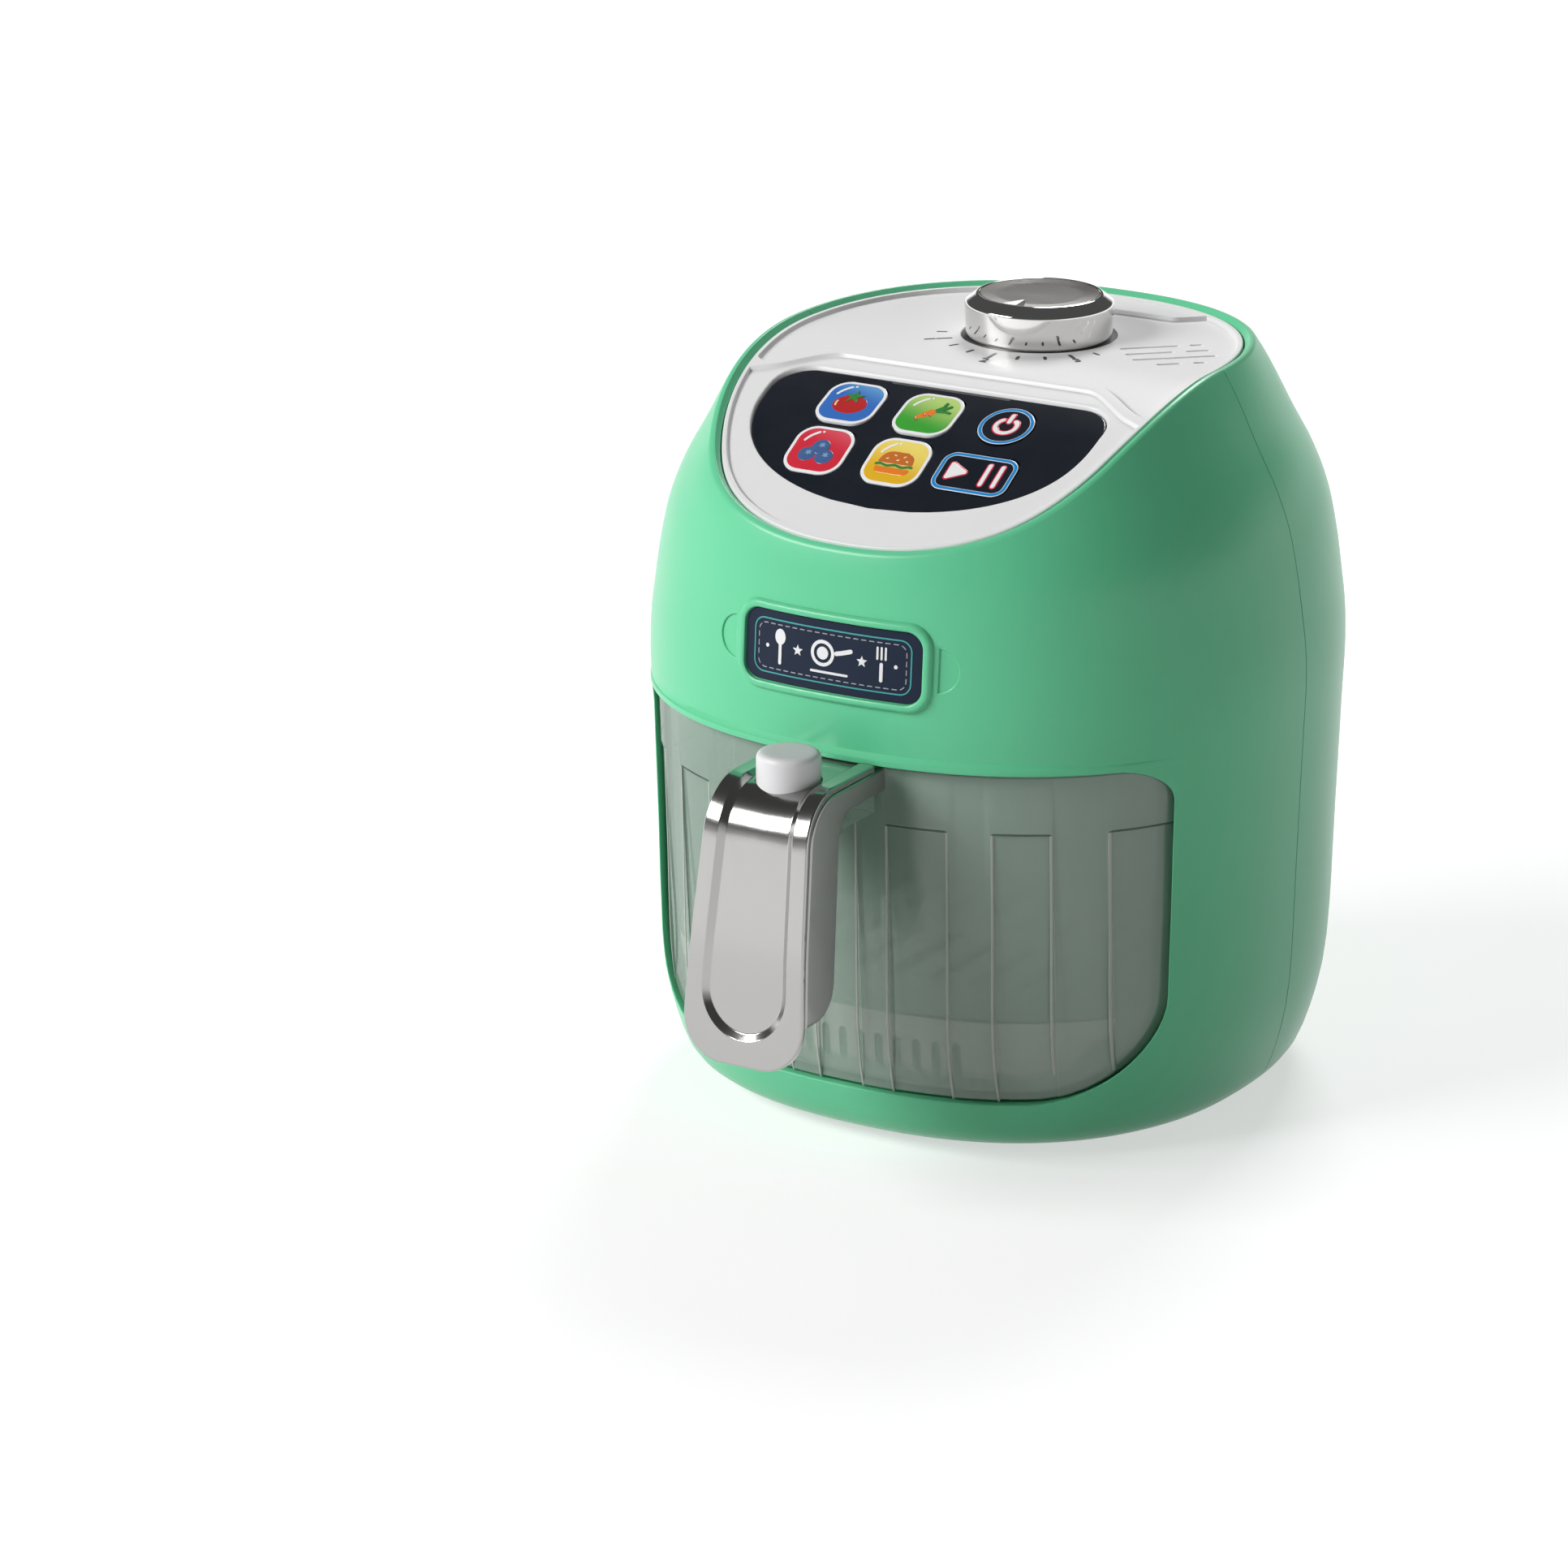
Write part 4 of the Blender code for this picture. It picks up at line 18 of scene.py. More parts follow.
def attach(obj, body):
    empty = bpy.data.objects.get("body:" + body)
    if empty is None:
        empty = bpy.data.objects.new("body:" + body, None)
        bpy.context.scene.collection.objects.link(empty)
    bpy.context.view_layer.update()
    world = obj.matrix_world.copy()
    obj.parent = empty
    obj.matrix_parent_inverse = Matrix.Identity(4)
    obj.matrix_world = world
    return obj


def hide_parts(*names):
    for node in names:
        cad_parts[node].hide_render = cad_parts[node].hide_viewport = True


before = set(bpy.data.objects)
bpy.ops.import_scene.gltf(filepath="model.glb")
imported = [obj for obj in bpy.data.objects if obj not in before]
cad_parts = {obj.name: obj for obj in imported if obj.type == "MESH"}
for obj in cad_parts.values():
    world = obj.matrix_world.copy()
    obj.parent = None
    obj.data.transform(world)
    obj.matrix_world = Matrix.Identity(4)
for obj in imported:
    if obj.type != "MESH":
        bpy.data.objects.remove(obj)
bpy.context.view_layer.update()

# %% [markdown]
# ## Camera
#
# The picture is taken from the right and a little above, with a long lens, so that lines hardly
# converge. A camera is placed by its right, up and back directions, which are the columns of its
# rotation.


# %% Camera
def add_object(name, data):
    thing = bpy.data.objects.new(name, data)
    bpy.context.scene.collection.objects.link(thing)
    return thing


right, back = Vector((0.8581, 0.5135, 0.0)), Vector((0.4870, -0.8137, 0.3173))
lens = bpy.data.cameras.new("studio_lens")
lens.lens, lens.sensor_width = 139.55, 36.0
lens.clip_start, lens.clip_end = 0.05, 30.0
camera = add_object("studio_camera", lens)
turned_axes = Matrix((right, back.cross(right), back)).transposed().to_4x4()
camera.matrix_world = Matrix.Translation((0.7122, -1.2753, 0.5674)) @ turned_axes
bpy.context.scene.camera = camera
bpy.context.scene.view_settings.view_transform = "Standard"
print("camera at", [round(v, 3) for v in camera.location])

# %% [markdown]
# ## Shape of the body
#
# The body is a moulding without one flat side. In plan it is a superellipse, a circle pulled towards
# a square, and its half width changes with height. The top is level at the back and bends down
# towards the front. These few formulas are the ground that every outer piece stands on. Sizes are in
# millimetres, with the body's own axis at x = y = 0.

# %% Body formulas
MM = 0.001
AXIS_Y = 21.0
HALF_WIDTH, HEIGHT, LIFT = 85.0, 192.0, 1.2
SQUARENESS = 2.3
WALL = 2.4
SEAM_Y = 4.0
TOP_Z, BEND_Y, BEND_RADIUS, TILT = 189.5, 2.0, 95.0, math.radians(30.5)
LEAN_FROM, LEAN = 0.612, 0.084
PROFILE = ((0, .765), (.012, .840), (.028, .888), (.058, .921), (.125, .960), (.192, .976), (.340, .985),
           (.500, .995), (.610, 1.0), (.685, .979), (.740, .958), (.790, .931), (.840, .886), (.890, .825),
           (.940, .768), (.975, .723), (1.0, .683), (1.03, .628))


def share_of_height(z):
    return (np.asarray(z, float) - LIFT) / (HEIGHT - LIFT)


def half_width(z):
    """Half width of the body at a height, on a smooth curve through the profile's points."""
    places, widths = np.array(PROFILE).T
    slopes = np.empty(len(places))
    slopes[1:-1] = (widths[2:] - widths[:-2]) / (places[2:] - places[:-2])
    slopes[0] = (widths[1] - widths[0]) / (places[1] - places[0])
    slopes[-1] = (widths[-1] - widths[-2]) / (places[-1] - places[-2])
    share = np.clip(share_of_height(z), 0, places[-1])
    span = np.clip(np.searchsorted(places, share, side="right") - 1, 0, len(places) - 2)
    step = places[span + 1] - places[span]
    t = (share - places[span]) / step
    hold = 2 * t ** 3 - 3 * t ** 2 + 1
    curve = hold * widths[span] + (1 - hold) * widths[span + 1]
    curve += (t ** 3 - 2 * t ** 2 + t) * step * slopes[span] + (t ** 3 - t ** 2) * step * slopes[span + 1]
    return HALF_WIDTH * curve


def length_ratio(z):
    """How much longer than wide the plan is: high up the sides lean in more than the front."""
    return 1 + LEAN * np.maximum(share_of_height(z) - LEAN_FROM, 0) / (1 - LEAN_FROM)


def ring_point(turn, z, inset=0.0):
    """Point of the skin in a direction round the body."""
    turn = np.asarray(turn, float)
    radius = half_width(z) - inset
    x = radius * np.sign(np.cos(turn)) * np.abs(np.cos(turn)) ** (2 / SQUARENESS)
    y = radius * np.sign(np.sin(turn)) * np.abs(np.sin(turn)) ** (2 / SQUARENESS) * length_ratio(z)
    return np.stack([x, y, np.broadcast_to(z, x.shape)], -1)


def face_y(x, z, inset=0.0):
    """How far the skin lies from the axis, front or back, at a place across and a height."""
    rest = np.maximum((half_width(z) - inset) ** SQUARENESS - np.abs(x) ** SQUARENESS, 1e-9)
    return rest ** (1 / SQUARENESS) * length_ratio(z)


def top_height(y):
    """Height of the top surface: level at the back, an arc, then a straight slope."""
    ahead = BEND_Y - np.asarray(y, float)
    run = BEND_RADIUS * math.sin(TILT)
    arc = TOP_Z - BEND_RADIUS + np.sqrt(BEND_RADIUS ** 2 - np.clip(ahead, 0, run) ** 2)
    return arc - np.maximum(ahead - run, 0) * math.tan(TILT)


def rim_point(turn, inset, drop):
    """Point at a distance inside the top's outer edge, and below the top surface."""
    edge = np.full(np.shape(turn), 175.0)
    for _ in range(60):
        edge = 0.5 * edge + 0.5 * top_height(ring_point(turn, edge)[..., 1])
    point = ring_point(turn, edge, inset)
    point[..., 2] = top_height(point[..., 1]) - drop
    return point


print("widest:", round(float(half_width(118.0)), 1))
print("top edge at the side:", np.round(rim_point(np.zeros(1), 0, 0)[0], 1))

# %% [markdown]
# ## Finishes
#
# Every surface has a little life: a fine grain in the moulding, broad soft mottling, a trace of dust
# on what faces up, and edges that hands have rubbed. These effects are shared, so each is a node
# group that is built once. A group only puts out masks and heights, and the shader itself stays in
# the material.


# %% Node tools
def node(tree, kind, inputs, **settings):
    """New shader node. inputs gives each socket a number, a colour or another node's output."""
    made = tree.nodes.new("ShaderNode" + kind)
    for label, value in settings.items():
        setattr(made, label, value)
    for label, value in inputs.items():
        if isinstance(value, bpy.types.NodeSocket):
            tree.links.new(value, made.inputs[label])
        else:
            made.inputs[label].default_value = value
    return made.outputs


def sum_of(tree, operation, first, second):
    return node(tree, "Math", {0: first, 1: second}, operation=operation)[0]


def fade(tree, value, low, high, start=0.0, end=1.0):
    """Soft step, from start where the value is low to end where it is high."""
    reach = {"Value": value, "From Min": low, "From Max": high, "To Min": start, "To Max": end}
    return node(tree, "MapRange", reach, interpolation_type="SMOOTHSTEP")["Result"]


def own_place(tree):
    return node(tree, "TexCoord", {})["Object"]


def noise(tree, **inputs):
    """Noise in the piece's own space."""
    return node(tree, "TexNoise", {"Vector": own_place(tree), **inputs})["Fac"]


def effect_group(name, inputs, *outputs):
    """Empty group with its inputs and outputs."""
    group = bpy.data.node_groups.new(name, "ShaderNodeTree")
    for label, value in inputs.items():
        group.interface.new_socket(label, in_out="INPUT", socket_type="NodeSocketFloat").default_value = value
    for label in outputs:
        group.interface.new_socket(label, in_out="OUTPUT", socket_type="NodeSocketFloat")
    return group, group.nodes.new("NodeGroupInput").outputs, group.nodes.new("NodeGroupOutput").inputs


# %% Shared effects: grain and mottling, rubbed edges, settled dust
GRAIN, given, result = effect_group("moulded_grain", {"Grain Scale": 900.0, "Mottle Scale": 35.0}, "Grain", "Mottle")
for label, detail in (("Grain", 3.0), ("Mottle", 4.0)):
    GRAIN.links.new(noise(GRAIN, Scale=given[label + " Scale"], Detail=detail), result[label])

EDGES, given, result = effect_group("rubbed_edges", {"Strength": 0.5}, "Mask")
pointed = node(EDGES, "NewGeometry", {})["Pointiness"]
worn = node(EDGES, "MapRange", {"Value": pointed, "From Min": 0.53, "From Max": 0.62})["Result"]
broken = sum_of(EDGES, "MULTIPLY", worn, noise(EDGES, Scale=260.0))
EDGES.links.new(sum_of(EDGES, "MULTIPLY", broken, given["Strength"]), result["Mask"])

DUST, given, result = effect_group("settled_dust", {"Strength": 0.1}, "Mask")
normal = node(DUST, "NewGeometry", {})["Normal"]
facing = sum_of(DUST, "MAXIMUM", node(DUST, "SeparateXYZ", {"Vector": normal})["Z"], 0.0)
patch = sum_of(DUST, "MULTIPLY", facing, noise(DUST, Scale=90.0, Detail=6.0))
DUST.links.new(sum_of(DUST, "MULTIPLY", patch, given["Strength"]), result["Mask"])
print("effect groups:", [group.name for group in (GRAIN, EDGES, DUST)])

# %% [markdown]
# A finish is then a Principled shader with those effects mixed in: the colour drifts with the
# mottling, edges lighten, dust dulls, and the grain gives the bump. Constant values such as metal,
# coat and clearness are set on the shader itself.

# %% Finish maker
DUST_COLOUR = (0.62, 0.61, 0.59)
BUMP_DISTANCE = 0.0004


def finish(name, colour, roughness, grain=900.0, depth=0.02, drift=0.04, rubbed=0.25, dusty=0.06,
           shades=None, **plain):
    """Material for one kind of surface. shades gives a second colour and heights to fade between."""
    material = bpy.data.materials.new(name)
    material.use_nodes = True
    tree = material.node_tree
    shader = tree.nodes["Principled BSDF"]
    for label, value in plain.items():
        shader.inputs[label.replace("_", " ")].default_value = value

    def placed(group, label, value):
        return node(tree, "Group", {label: value}, node_tree=group)

    def mixed(factor, *colours):
        first, second = [(*each, 1.0) if isinstance(each, tuple) else each for each in colours]
        return node(tree, "Mix", {"Factor": factor, "A": first, "B": second}, data_type="RGBA")["Result"]

    surface, dust = placed(GRAIN, "Grain Scale", grain), placed(DUST, "Strength", dusty)["Mask"]
    lighter = tuple(min(1.0, c * (1 + drift) + drift * 0.02) for c in colour)
    tone = mixed(surface["Mottle"], tuple(c * (1 - drift) for c in colour), lighter)
    if shades:
        second, low, high, direction = shades
        along = node(tree, "VectorMath", {0: own_place(tree), 1: direction}, operation="DOT_PRODUCT")["Value"]
        tone = mixed(fade(tree, along, low, high), tone, second)
    pale_edge = tuple(min(1.0, c * 1.2 + 0.06) for c in colour)
    tone = mixed(placed(EDGES, "Strength", rubbed)["Mask"], tone, pale_edge)
    tree.links.new(mixed(dust, tone, DUST_COLOUR), shader.inputs["Base Color"])
    spread = {"Value": surface["Mottle"], "To Min": roughness * 0.88, "To Max": min(1.0, roughness * 1.12)}
    rough = sum_of(tree, "ADD", node(tree, "MapRange", spread)["Result"], dust)
    tree.links.new(rough, shader.inputs["Roughness"])
    bump = node(tree, "Bump", {"Strength": depth, "Distance": BUMP_DISTANCE, "Height": surface["Grain"]})
    tree.links.new(bump["Normal"], shader.inputs["Normal"])
    return material


# %% Finishes of the toy
PLATED = dict(grain=400.0, depth=.01, drift=.02, rubbed=.1, dusty=.02, Metallic=1.0)
MINT = finish("mint_moulding", (.118, .58, .305), .34, depth=.03, Coat_Weight=.2, Coat_Roughness=.2,
              Specular_IOR_Level=.3)
MINT_INSIDE = finish("mint_inner_wall", (.05, .6, .22), .45, depth=.03)
WHITE = finish("white_moulding", (.76, .76, .76), .38, depth=.03, drift=.02, rubbed=.1)
WHITE_KEY = finish("white_satin", (.72, .72, .73), .42, drift=.02, rubbed=.1)
NAVY = finish("navy_window", (.003, .0062, .013), .16, depth=.005, drift=.12, rubbed=.05, dusty=.02)
NAVY_PLATE = finish("navy_plate", (.006, .014, .036), .45, depth=.01, drift=.1, rubbed=.05, Specular_IOR_Level=.2)
CHROME = finish("chrome_plating", (.76, .752, .74), .07, **PLATED)
COVER = finish("satin_chrome", (.43, .425, .416), .15, **PLATED)
BRUSHED = finish("satin_silver", (.4, .395, .389), .3, grain=1400.0, depth=.04, rubbed=.1, dusty=.03, Metallic=1.0)
GREY_PAINT = finish("grey_metal_paint", (.2, .2, .2), .36, grain=1600.0, depth=.03, drift=.05, Metallic=.75)
DISC = finish("dial_disc_plating", (.45, .433, .41), .2, grain=1200.0, Metallic=1.0)
# Its pale rubbed edges are partly wear and partly a painted highlight along the basket's edges.
SMOKE = finish("smoky_clear_plastic", (.33, .46, .375), .12, depth=.005, drift=.05, rubbed=.4, dusty=.02,
               Alpha=.52, IOR=1.8)
# Dark strips along the basket panels' tops: painted shade.
EDGE_PAINTED_SHADE = finish("basket_edge_painted_shade", (.07, .12, .09), .2, depth=.005, Alpha=.8)
# Pale strips on the basket panels' sides: a painted highlight.
EDGE_PAINTED_HIGHLIGHT = finish("basket_edge_painted_highlight", (.52, .54, .49), .15, depth=.005, Alpha=.75)
# Lit and shaded copies of one grey for the pointer notch's two facets: painted light and painted shade.
POINTER_PAINTED_LIT = finish("pointer_painted_lit_side", (.36, .35, .335), .4, Metallic=.6)
POINTER_PAINTED_SHADE = finish("pointer_painted_shade_side", (.07, .068, .065), .45, Metallic=.4)
TRAY = finish("warm_grey_tray", (.56, .545, .51), .45, depth=.03, drift=.05)
RUBBER = finish("foot_rubber", (.055, .055, .055), .75, grain=1800.0, depth=.1, drift=.15, dusty=.1)
BLACK = finish("black_moulding", (.03, .03, .032), .45, depth=.04, drift=.1)
INK = finish("black_ink", (.012, .012, .014), .5, drift=.1, dusty=.02)
STEEL = finish("screw_steel", (.56, .55, .54), .28, grain=2200.0, depth=.05, drift=.06, Metallic=1.0)
BOARD = finish("board_lacquer", (.03, .18, .08), .35, depth=.04, drift=.12)
AMBER = finish("amber_light_pipe", (.9, .38, .08), .12, depth=.01, Transmission_Weight=.8)
JACKET = finish("cell_jacket", (.62, .34, .12), .3, grain=600.0, Metallic=.6)
RED_LEAD = finish("red_lead", (.55, .04, .04), .45, depth=.04)
print("finishes:", len(bpy.data.materials))

# %% [markdown]
# ## Tools for solid pieces
#
# A piece is drawn in millimetres and placed in metres. Each one says which body carries it, which CAD
# nodes it stands for and which finish it takes. Weighted normals keep wide faces even beside their
# small rounded edges.


# %% Piece maker
def new_piece(name, points, faces, sharp=32):
    work = bmesh.new()
    corners = [work.verts.new((x * MM, (y + AXIS_Y) * MM, z * MM)) for x, y, z in points]
    for face in faces:
        work.faces.new([corners[index] for index in face])
    loose = [corner for corner in work.verts if not corner.link_faces]
    bmesh.ops.delete(work, geom=loose, context="VERTS")
    bmesh.ops.recalc_face_normals(work, faces=work.faces)
    mesh = bpy.data.meshes.new(name)
    work.to_mesh(mesh)
    work.free()
    return smooth(add_object(name, mesh), sharp)


def smooth(piece, sharp=32):
    piece.data.shade_smooth()
    piece.data.set_sharp_from_angle(angle=math.radians(sharp))
    return piece


def fit(piece, body, slot, material, *nodes):
    """Finish a piece: what carries it, its finish, and the CAD nodes that it stands for."""
    piece.data.materials.clear()
    piece.data.materials.append(material)
    piece.modifiers.new("even_shading", "WEIGHTED_NORMAL").keep_sharp = True
    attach(piece, body)
    if nodes:
        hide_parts(*nodes)
    return piece


def carve(piece, cutter):
    """Cut one solid with another and drop the cutter."""
    step = piece.modifiers.new("cut", "BOOLEAN")
    step.operation, step.solver, step.object = "DIFFERENCE", "EXACT", cutter
    graph = bpy.context.evaluated_depsgraph_get()
    old, result = piece.data, bpy.data.meshes.new_from_object(piece.evaluated_get(graph))
    piece.modifiers.clear()
    piece.data = result
    bpy.data.meshes.remove(old)
    bpy.data.objects.remove(cutter, do_unlink=True)
    smooth(piece)


def skin(name, rows, wrap=False):
    """Solid over rows of points, capped at both ends or closed on itself."""
    rows = np.array(rows)
    count, wide = rows.shape[:2]
    faces = []
    for row in range(count if wrap else count - 1):
        low, high = row * wide, (row + 1) % count * wide
        faces += [(low + k, low + (k + 1) % wide, high + (k + 1) % wide, high + k) for k in range(wide)]
    if not wrap:
        faces += [tuple(reversed(range(wide))), tuple(range((count - 1) * wide, count * wide))]
    return new_piece(name, rows.reshape(-1, 3), faces)


def turned(name, profile, centre, steps):
    """Solid of revolution from pairs of radius and height."""
    turns = np.arange(steps) * math.tau / steps
    x, y = centre
    rows = [[(x + radius * math.cos(t), y + radius * math.sin(t), z) for t in turns] for radius, z in profile]
    return skin(name, rows)


print("tools ready")

# %% [markdown]
# ## Contour maps
#
# Moulded faces have steps, grooves and rounded edges that follow an outline. A map does this well:
# outlines are drawn flat, a step is a set of contour lines beside an outline with a height for each,
# and the flat map is then laid on the real surface, level or curved. Triangles fill the map between
# the lines, so every edge stays crisp and every rounding is real geometry.


# %% Flat outlines
def loop(points):
    return np.array([(float(a), float(b)) for a, b in points])


def arc(radius, start, end, centre=(0.0, 0.0), steps=28):
    turns = np.radians(np.linspace(start, end, steps))
    return np.stack([centre[0] + radius * np.cos(turns), centre[1] + radius * np.sin(turns)], -1)


def circle(radius, steps=48, centre=(0.0, 0.0)):
    return arc(radius, 0.0, 360.0 - 360.0 / steps, centre, steps)


def rounded(corners, radii, steps=8):
    """Polygon with round corners, as dense points."""
    points = []
    corners = [Vector(corner) for corner in corners]
    for index, corner in enumerate(corners):
        radius = radii[index] if isinstance(radii, (list, tuple)) else radii
        if radius == 0:
            points.append(tuple(corner))
            continue
        before = (corners[index - 1] - corner).normalized()
        after = (corners[(index + 1) % len(corners)] - corner).normalized()
        half = before.angle(after) / 2
        centre = corner + (before + after).normalized() * radius / math.sin(half)
        start = corner + before * radius / math.tan(half) - centre
        sweep = start.angle_signed(corner + after * radius / math.tan(half) - centre)
        points += [tuple(centre + Matrix.Rotation(-sweep * step / steps, 2) @ start) for step in range(steps + 1)]
    return loop(points)


def rectangle(width, height, radius, centre=(0.0, 0.0), steps=8):
    a, b = width / 2, height / 2
    return rounded([(centre[0] + x, centre[1] + y) for x, y in ((-a, -b), (a, -b), (a, b), (-a, b))], radius, steps)


def offset(outline, inward):
    """Outline moved inward, for points that run anticlockwise."""
    sides = []
    for run in (outline - np.roll(outline, 1, 0), np.roll(outline, -1, 0) - outline):
        sides.append(np.stack([-run[:, 1], run[:, 0]], -1) / np.linalg.norm(run, axis=1)[:, None])
    middle = sides[0] + sides[1]
    return outline + inward * 2 * middle / (middle ** 2).sum(1)[:, None]


def lies_in(points, outline):
    start, end = outline, np.roll(outline, -1, 0)
    x, y = points[:, :1], points[:, 1:2]
    crosses = (start[:, 1] > y) != (end[:, 1] > y)
    rise = np.where(end[:, 1] == start[:, 1], 1.0, end[:, 1] - start[:, 1])
    at = (end[:, 0] - start[:, 0]) * (y - start[:, 1]) / rise + start[:, 0]
    return (crosses & (x < at)).sum(1) % 2 == 1


def depth_in(points, outline, batch=4000):
    """Distance from the outline, positive inside it."""
    run = np.roll(outline, -1, 0) - outline
    result = np.empty(len(points))
    for low in range(0, len(points), batch):
        away = points[low:low + batch][:, None] - outline
        t = np.clip((away * run).sum(2) / np.maximum((run ** 2).sum(1), 1e-12), 0, 1)
        result[low:low + batch] = np.linalg.norm(away - run * t[..., None], axis=2).min(1)
    return np.where(lies_in(points, outline), result, -result)


# %% Map to solid
def relief(name, outline, place, back, steps=(), holes=(), lines=(), level=0.0, sharp=32):
    """Solid whose face is a contour map. place lays the face. back is a level, or lays the rear."""
    islands = outline if isinstance(outline, list) else [outline]
    loops = [*islands, *holes]
    steps = [(contour if isinstance(contour, list) else [contour], heights) for contour, heights in steps]
    for contours, heights in steps:
        loops += [offset(contour, away) if away else contour for contour in contours for away, _ in heights]
    points, edges = [], []
    for each in loops:
        first = len(points)
        points += [Vector((float(a), float(b))) for a, b in each]
        edges += [(first + k, first + (k + 1) % len(each)) for k in range(len(each))]
    for start, end in lines:
        edges.append((len(points), len(points) + 1))
        points += [Vector(start), Vector(end)]
    corners, _, triangles = delaunay_2d_cdt(points, edges, [], 0, 1e-4)[:3]
    flat = np.array([(corner[0], corner[1]) for corner in corners])
    triangles = np.array([tuple(triangle) for triangle in triangles])
    middles = flat[triangles].mean(1)
    keep = np.any([lies_in(middles, island) for island in islands], axis=0)
    for hole in holes:
        keep &= ~lies_in(middles, hole)
    triangles = triangles[keep]
    height = np.full(len(flat), float(level))
    for contours, heights in steps:
        away = np.max([depth_in(flat, contour) for contour in contours], axis=0)
        height += np.interp(away, *np.array(heights).T)
    front = place(*flat.T, height)
    rear = back(*flat.T) if callable(back) else place(*flat.T, np.full(len(flat), back))
    count = len(flat)
    faces = [tuple(t) for t in triangles] + [tuple(t[::-1] + count) for t in triangles]
    used = {(t[k], t[(k + 1) % 3]) for t in triangles for k in range(3)}
    faces += [(b, a, a + count, b + count) for a, b in used if (b, a) not in used]
    return new_piece(name, np.concatenate([front, rear]), faces, sharp)


def on_top(x, y, height):
    return np.stack([x, y, top_height(y) + height], -1)


def on_face(x, z, height):
    return np.stack([x, -face_y(x, z, -height), z], -1)


def on_rear(x, z, height):
    return on_face(x, z, height) * (1, -1, 1)


def lines_across(low, high, start, end, step):
    """Extra lines up the map at steps from low to high, so that it can bend."""
    return [((x, start - 1), (x, end + 1)) for x in np.arange(low, high + 0.01, step)]


def lines_along(low, high, start, end, step):
    return [((a, b), (c, d)) for (b, a), (d, c) in lines_across(low, high, start, end, step)]


ROUND_EDGE = ((0.0, -0.35), (0.05, -0.2), (0.12, -0.1), (0.22, -0.03), (0.4, 0.0))
print("contour maps ready")

# %% [markdown]
# ## Green shells
#
# The body is two mouldings that meet at an upright seam. One closed ring is swept round the body: up
# the outer skin, over the rim with its rounded crest and inner slope, and down the inner skin. The
# drip lip over the basket belongs to the same skin: there, the outline is moved forward, so the lip
# fades out at the sides by itself.

# %% Sweep both shells
AROUND = 200
TURNS = np.arange(AROUND) * math.tau / AROUND
LIP_Z = 104.3
LOW_HEIGHTS = (1.2, 1.6, 2.2, 3.0, 4.2, 6.0, 8.5, 12, 16, 21, 27, 34, 42, 50, 58, 66, 74, 82, 90, 97, 101.5, LIP_Z)
LIP = ((0.0, 1.25, 2.4), (0.08, 1.08, 2.4), (0.3, 1.0, 2.4), (1.3, 1.0, 2.4), (1.55, 1.06, 2.36),
       (1.8, 1.25, 2.2), (2.8, 1.75, 1.65), (4.2, 2.2, 1.1), (5.4, 2.5, 0.7))
RIM = ((1.05, 0.03), (1.2, 0.12), (1.95, 0.95), (2.15, 1.12), (2.32, 1.3), (WALL, 1.6), (WALL, 6.0))


def level_ring(z):
    return ring_point(TURNS, np.full(AROUND, z))


def with_lip(points, shrink, shift):
    """Push a row out to the forward-moved outline where that stands proud."""
    flat = points[:, :2]
    radius = half_width(points[:, 2]) - shrink
    low, high = np.zeros(len(flat)), np.full(len(flat), 2.0)
    for _ in range(40):
        middle = (low + high) / 2
        x, y = flat[:, 0] * middle, flat[:, 1] * middle + shift
        within = np.abs(x / radius) ** SQUARENESS + np.abs(y / radius) ** SQUARENESS < 1
        low, high = np.where(within, middle, low), np.where(within, high, middle)
    grown = points.copy()
    grown[:, :2] *= np.maximum(low, 1.0)[:, None]
    return grown


def shell_rows():
    rows = [level_ring(z) for z in LOW_HEIGHTS]
    rows += [with_lip(level_ring(LIP_Z + rise), shrink, shift) for rise, shrink, shift in LIP]
    rows += [level_ring(z) for z in (113.0, 118.0, 123.0)]
    edge = rim_point(TURNS, 0.0, 0.0)
    low, high = 123.0, edge[:, 2] - 0.9
    rows += [ring_point(TURNS, low + (high - low) * share) for share in np.linspace(0, 1, 22)[1:]]
    start, end = rows[-1], rim_point(TURNS, 0.9, 0.0)
    rows += [start * (1 - t) ** 2 + edge * 2 * t * (1 - t) + end * t ** 2 for t in (0.2, 0.4, 0.6, 0.8, 1.0)]
    rows += [rim_point(TURNS, inset, drop) for inset, drop in RIM]
    floor = edge[:, 2] - 9.0
    return rows + [ring_point(TURNS, floor + (LIFT - floor) * share, WALL) for share in np.linspace(0, 1, 26)]


def half_shell(name, side):
    """One half of the ring, cut at the seam and closed there. side is -1 for the front."""
    piece = skin(name, shell_rows(), wrap=True)
    work = bmesh.new()
    work.from_mesh(piece.data)
    plane = (SEAM_Y + side * 0.15 + AXIS_Y) * MM
    bmesh.ops.bisect_plane(work, geom=work.verts[:] + work.edges[:] + work.faces[:], plane_co=(0, plane, 0),
                           plane_no=(0, -side, 0), clear_outer=True)
    bmesh.ops.holes_fill(work, edges=[edge for edge in work.edges if edge.is_boundary], sides=0)
    bmesh.ops.recalc_face_normals(work, faces=work.faces)
    work.to_mesh(piece.data)
    work.free()
    return smooth(piece)


front_shell, rear_shell = half_shell("front_shell_skin", -1), half_shell("rear_shell_skin", 1)
print("front shell faces:", len(front_shell.data.polygons))

# %% [markdown]
# Openings in a curved wall get their rounded edges from the cutter: it is a little wider where it
# meets the skin and narrows over the first half millimetre. The cutter's rings are laid on the skin
# itself, so the rounding has the same width all the way round.

# %% Window and thumb recesses
FAR_OUT = 140.0
LABEL_Z = 129.6
THUMB_X, THUMB_RADIUS = 27.9, 5.4


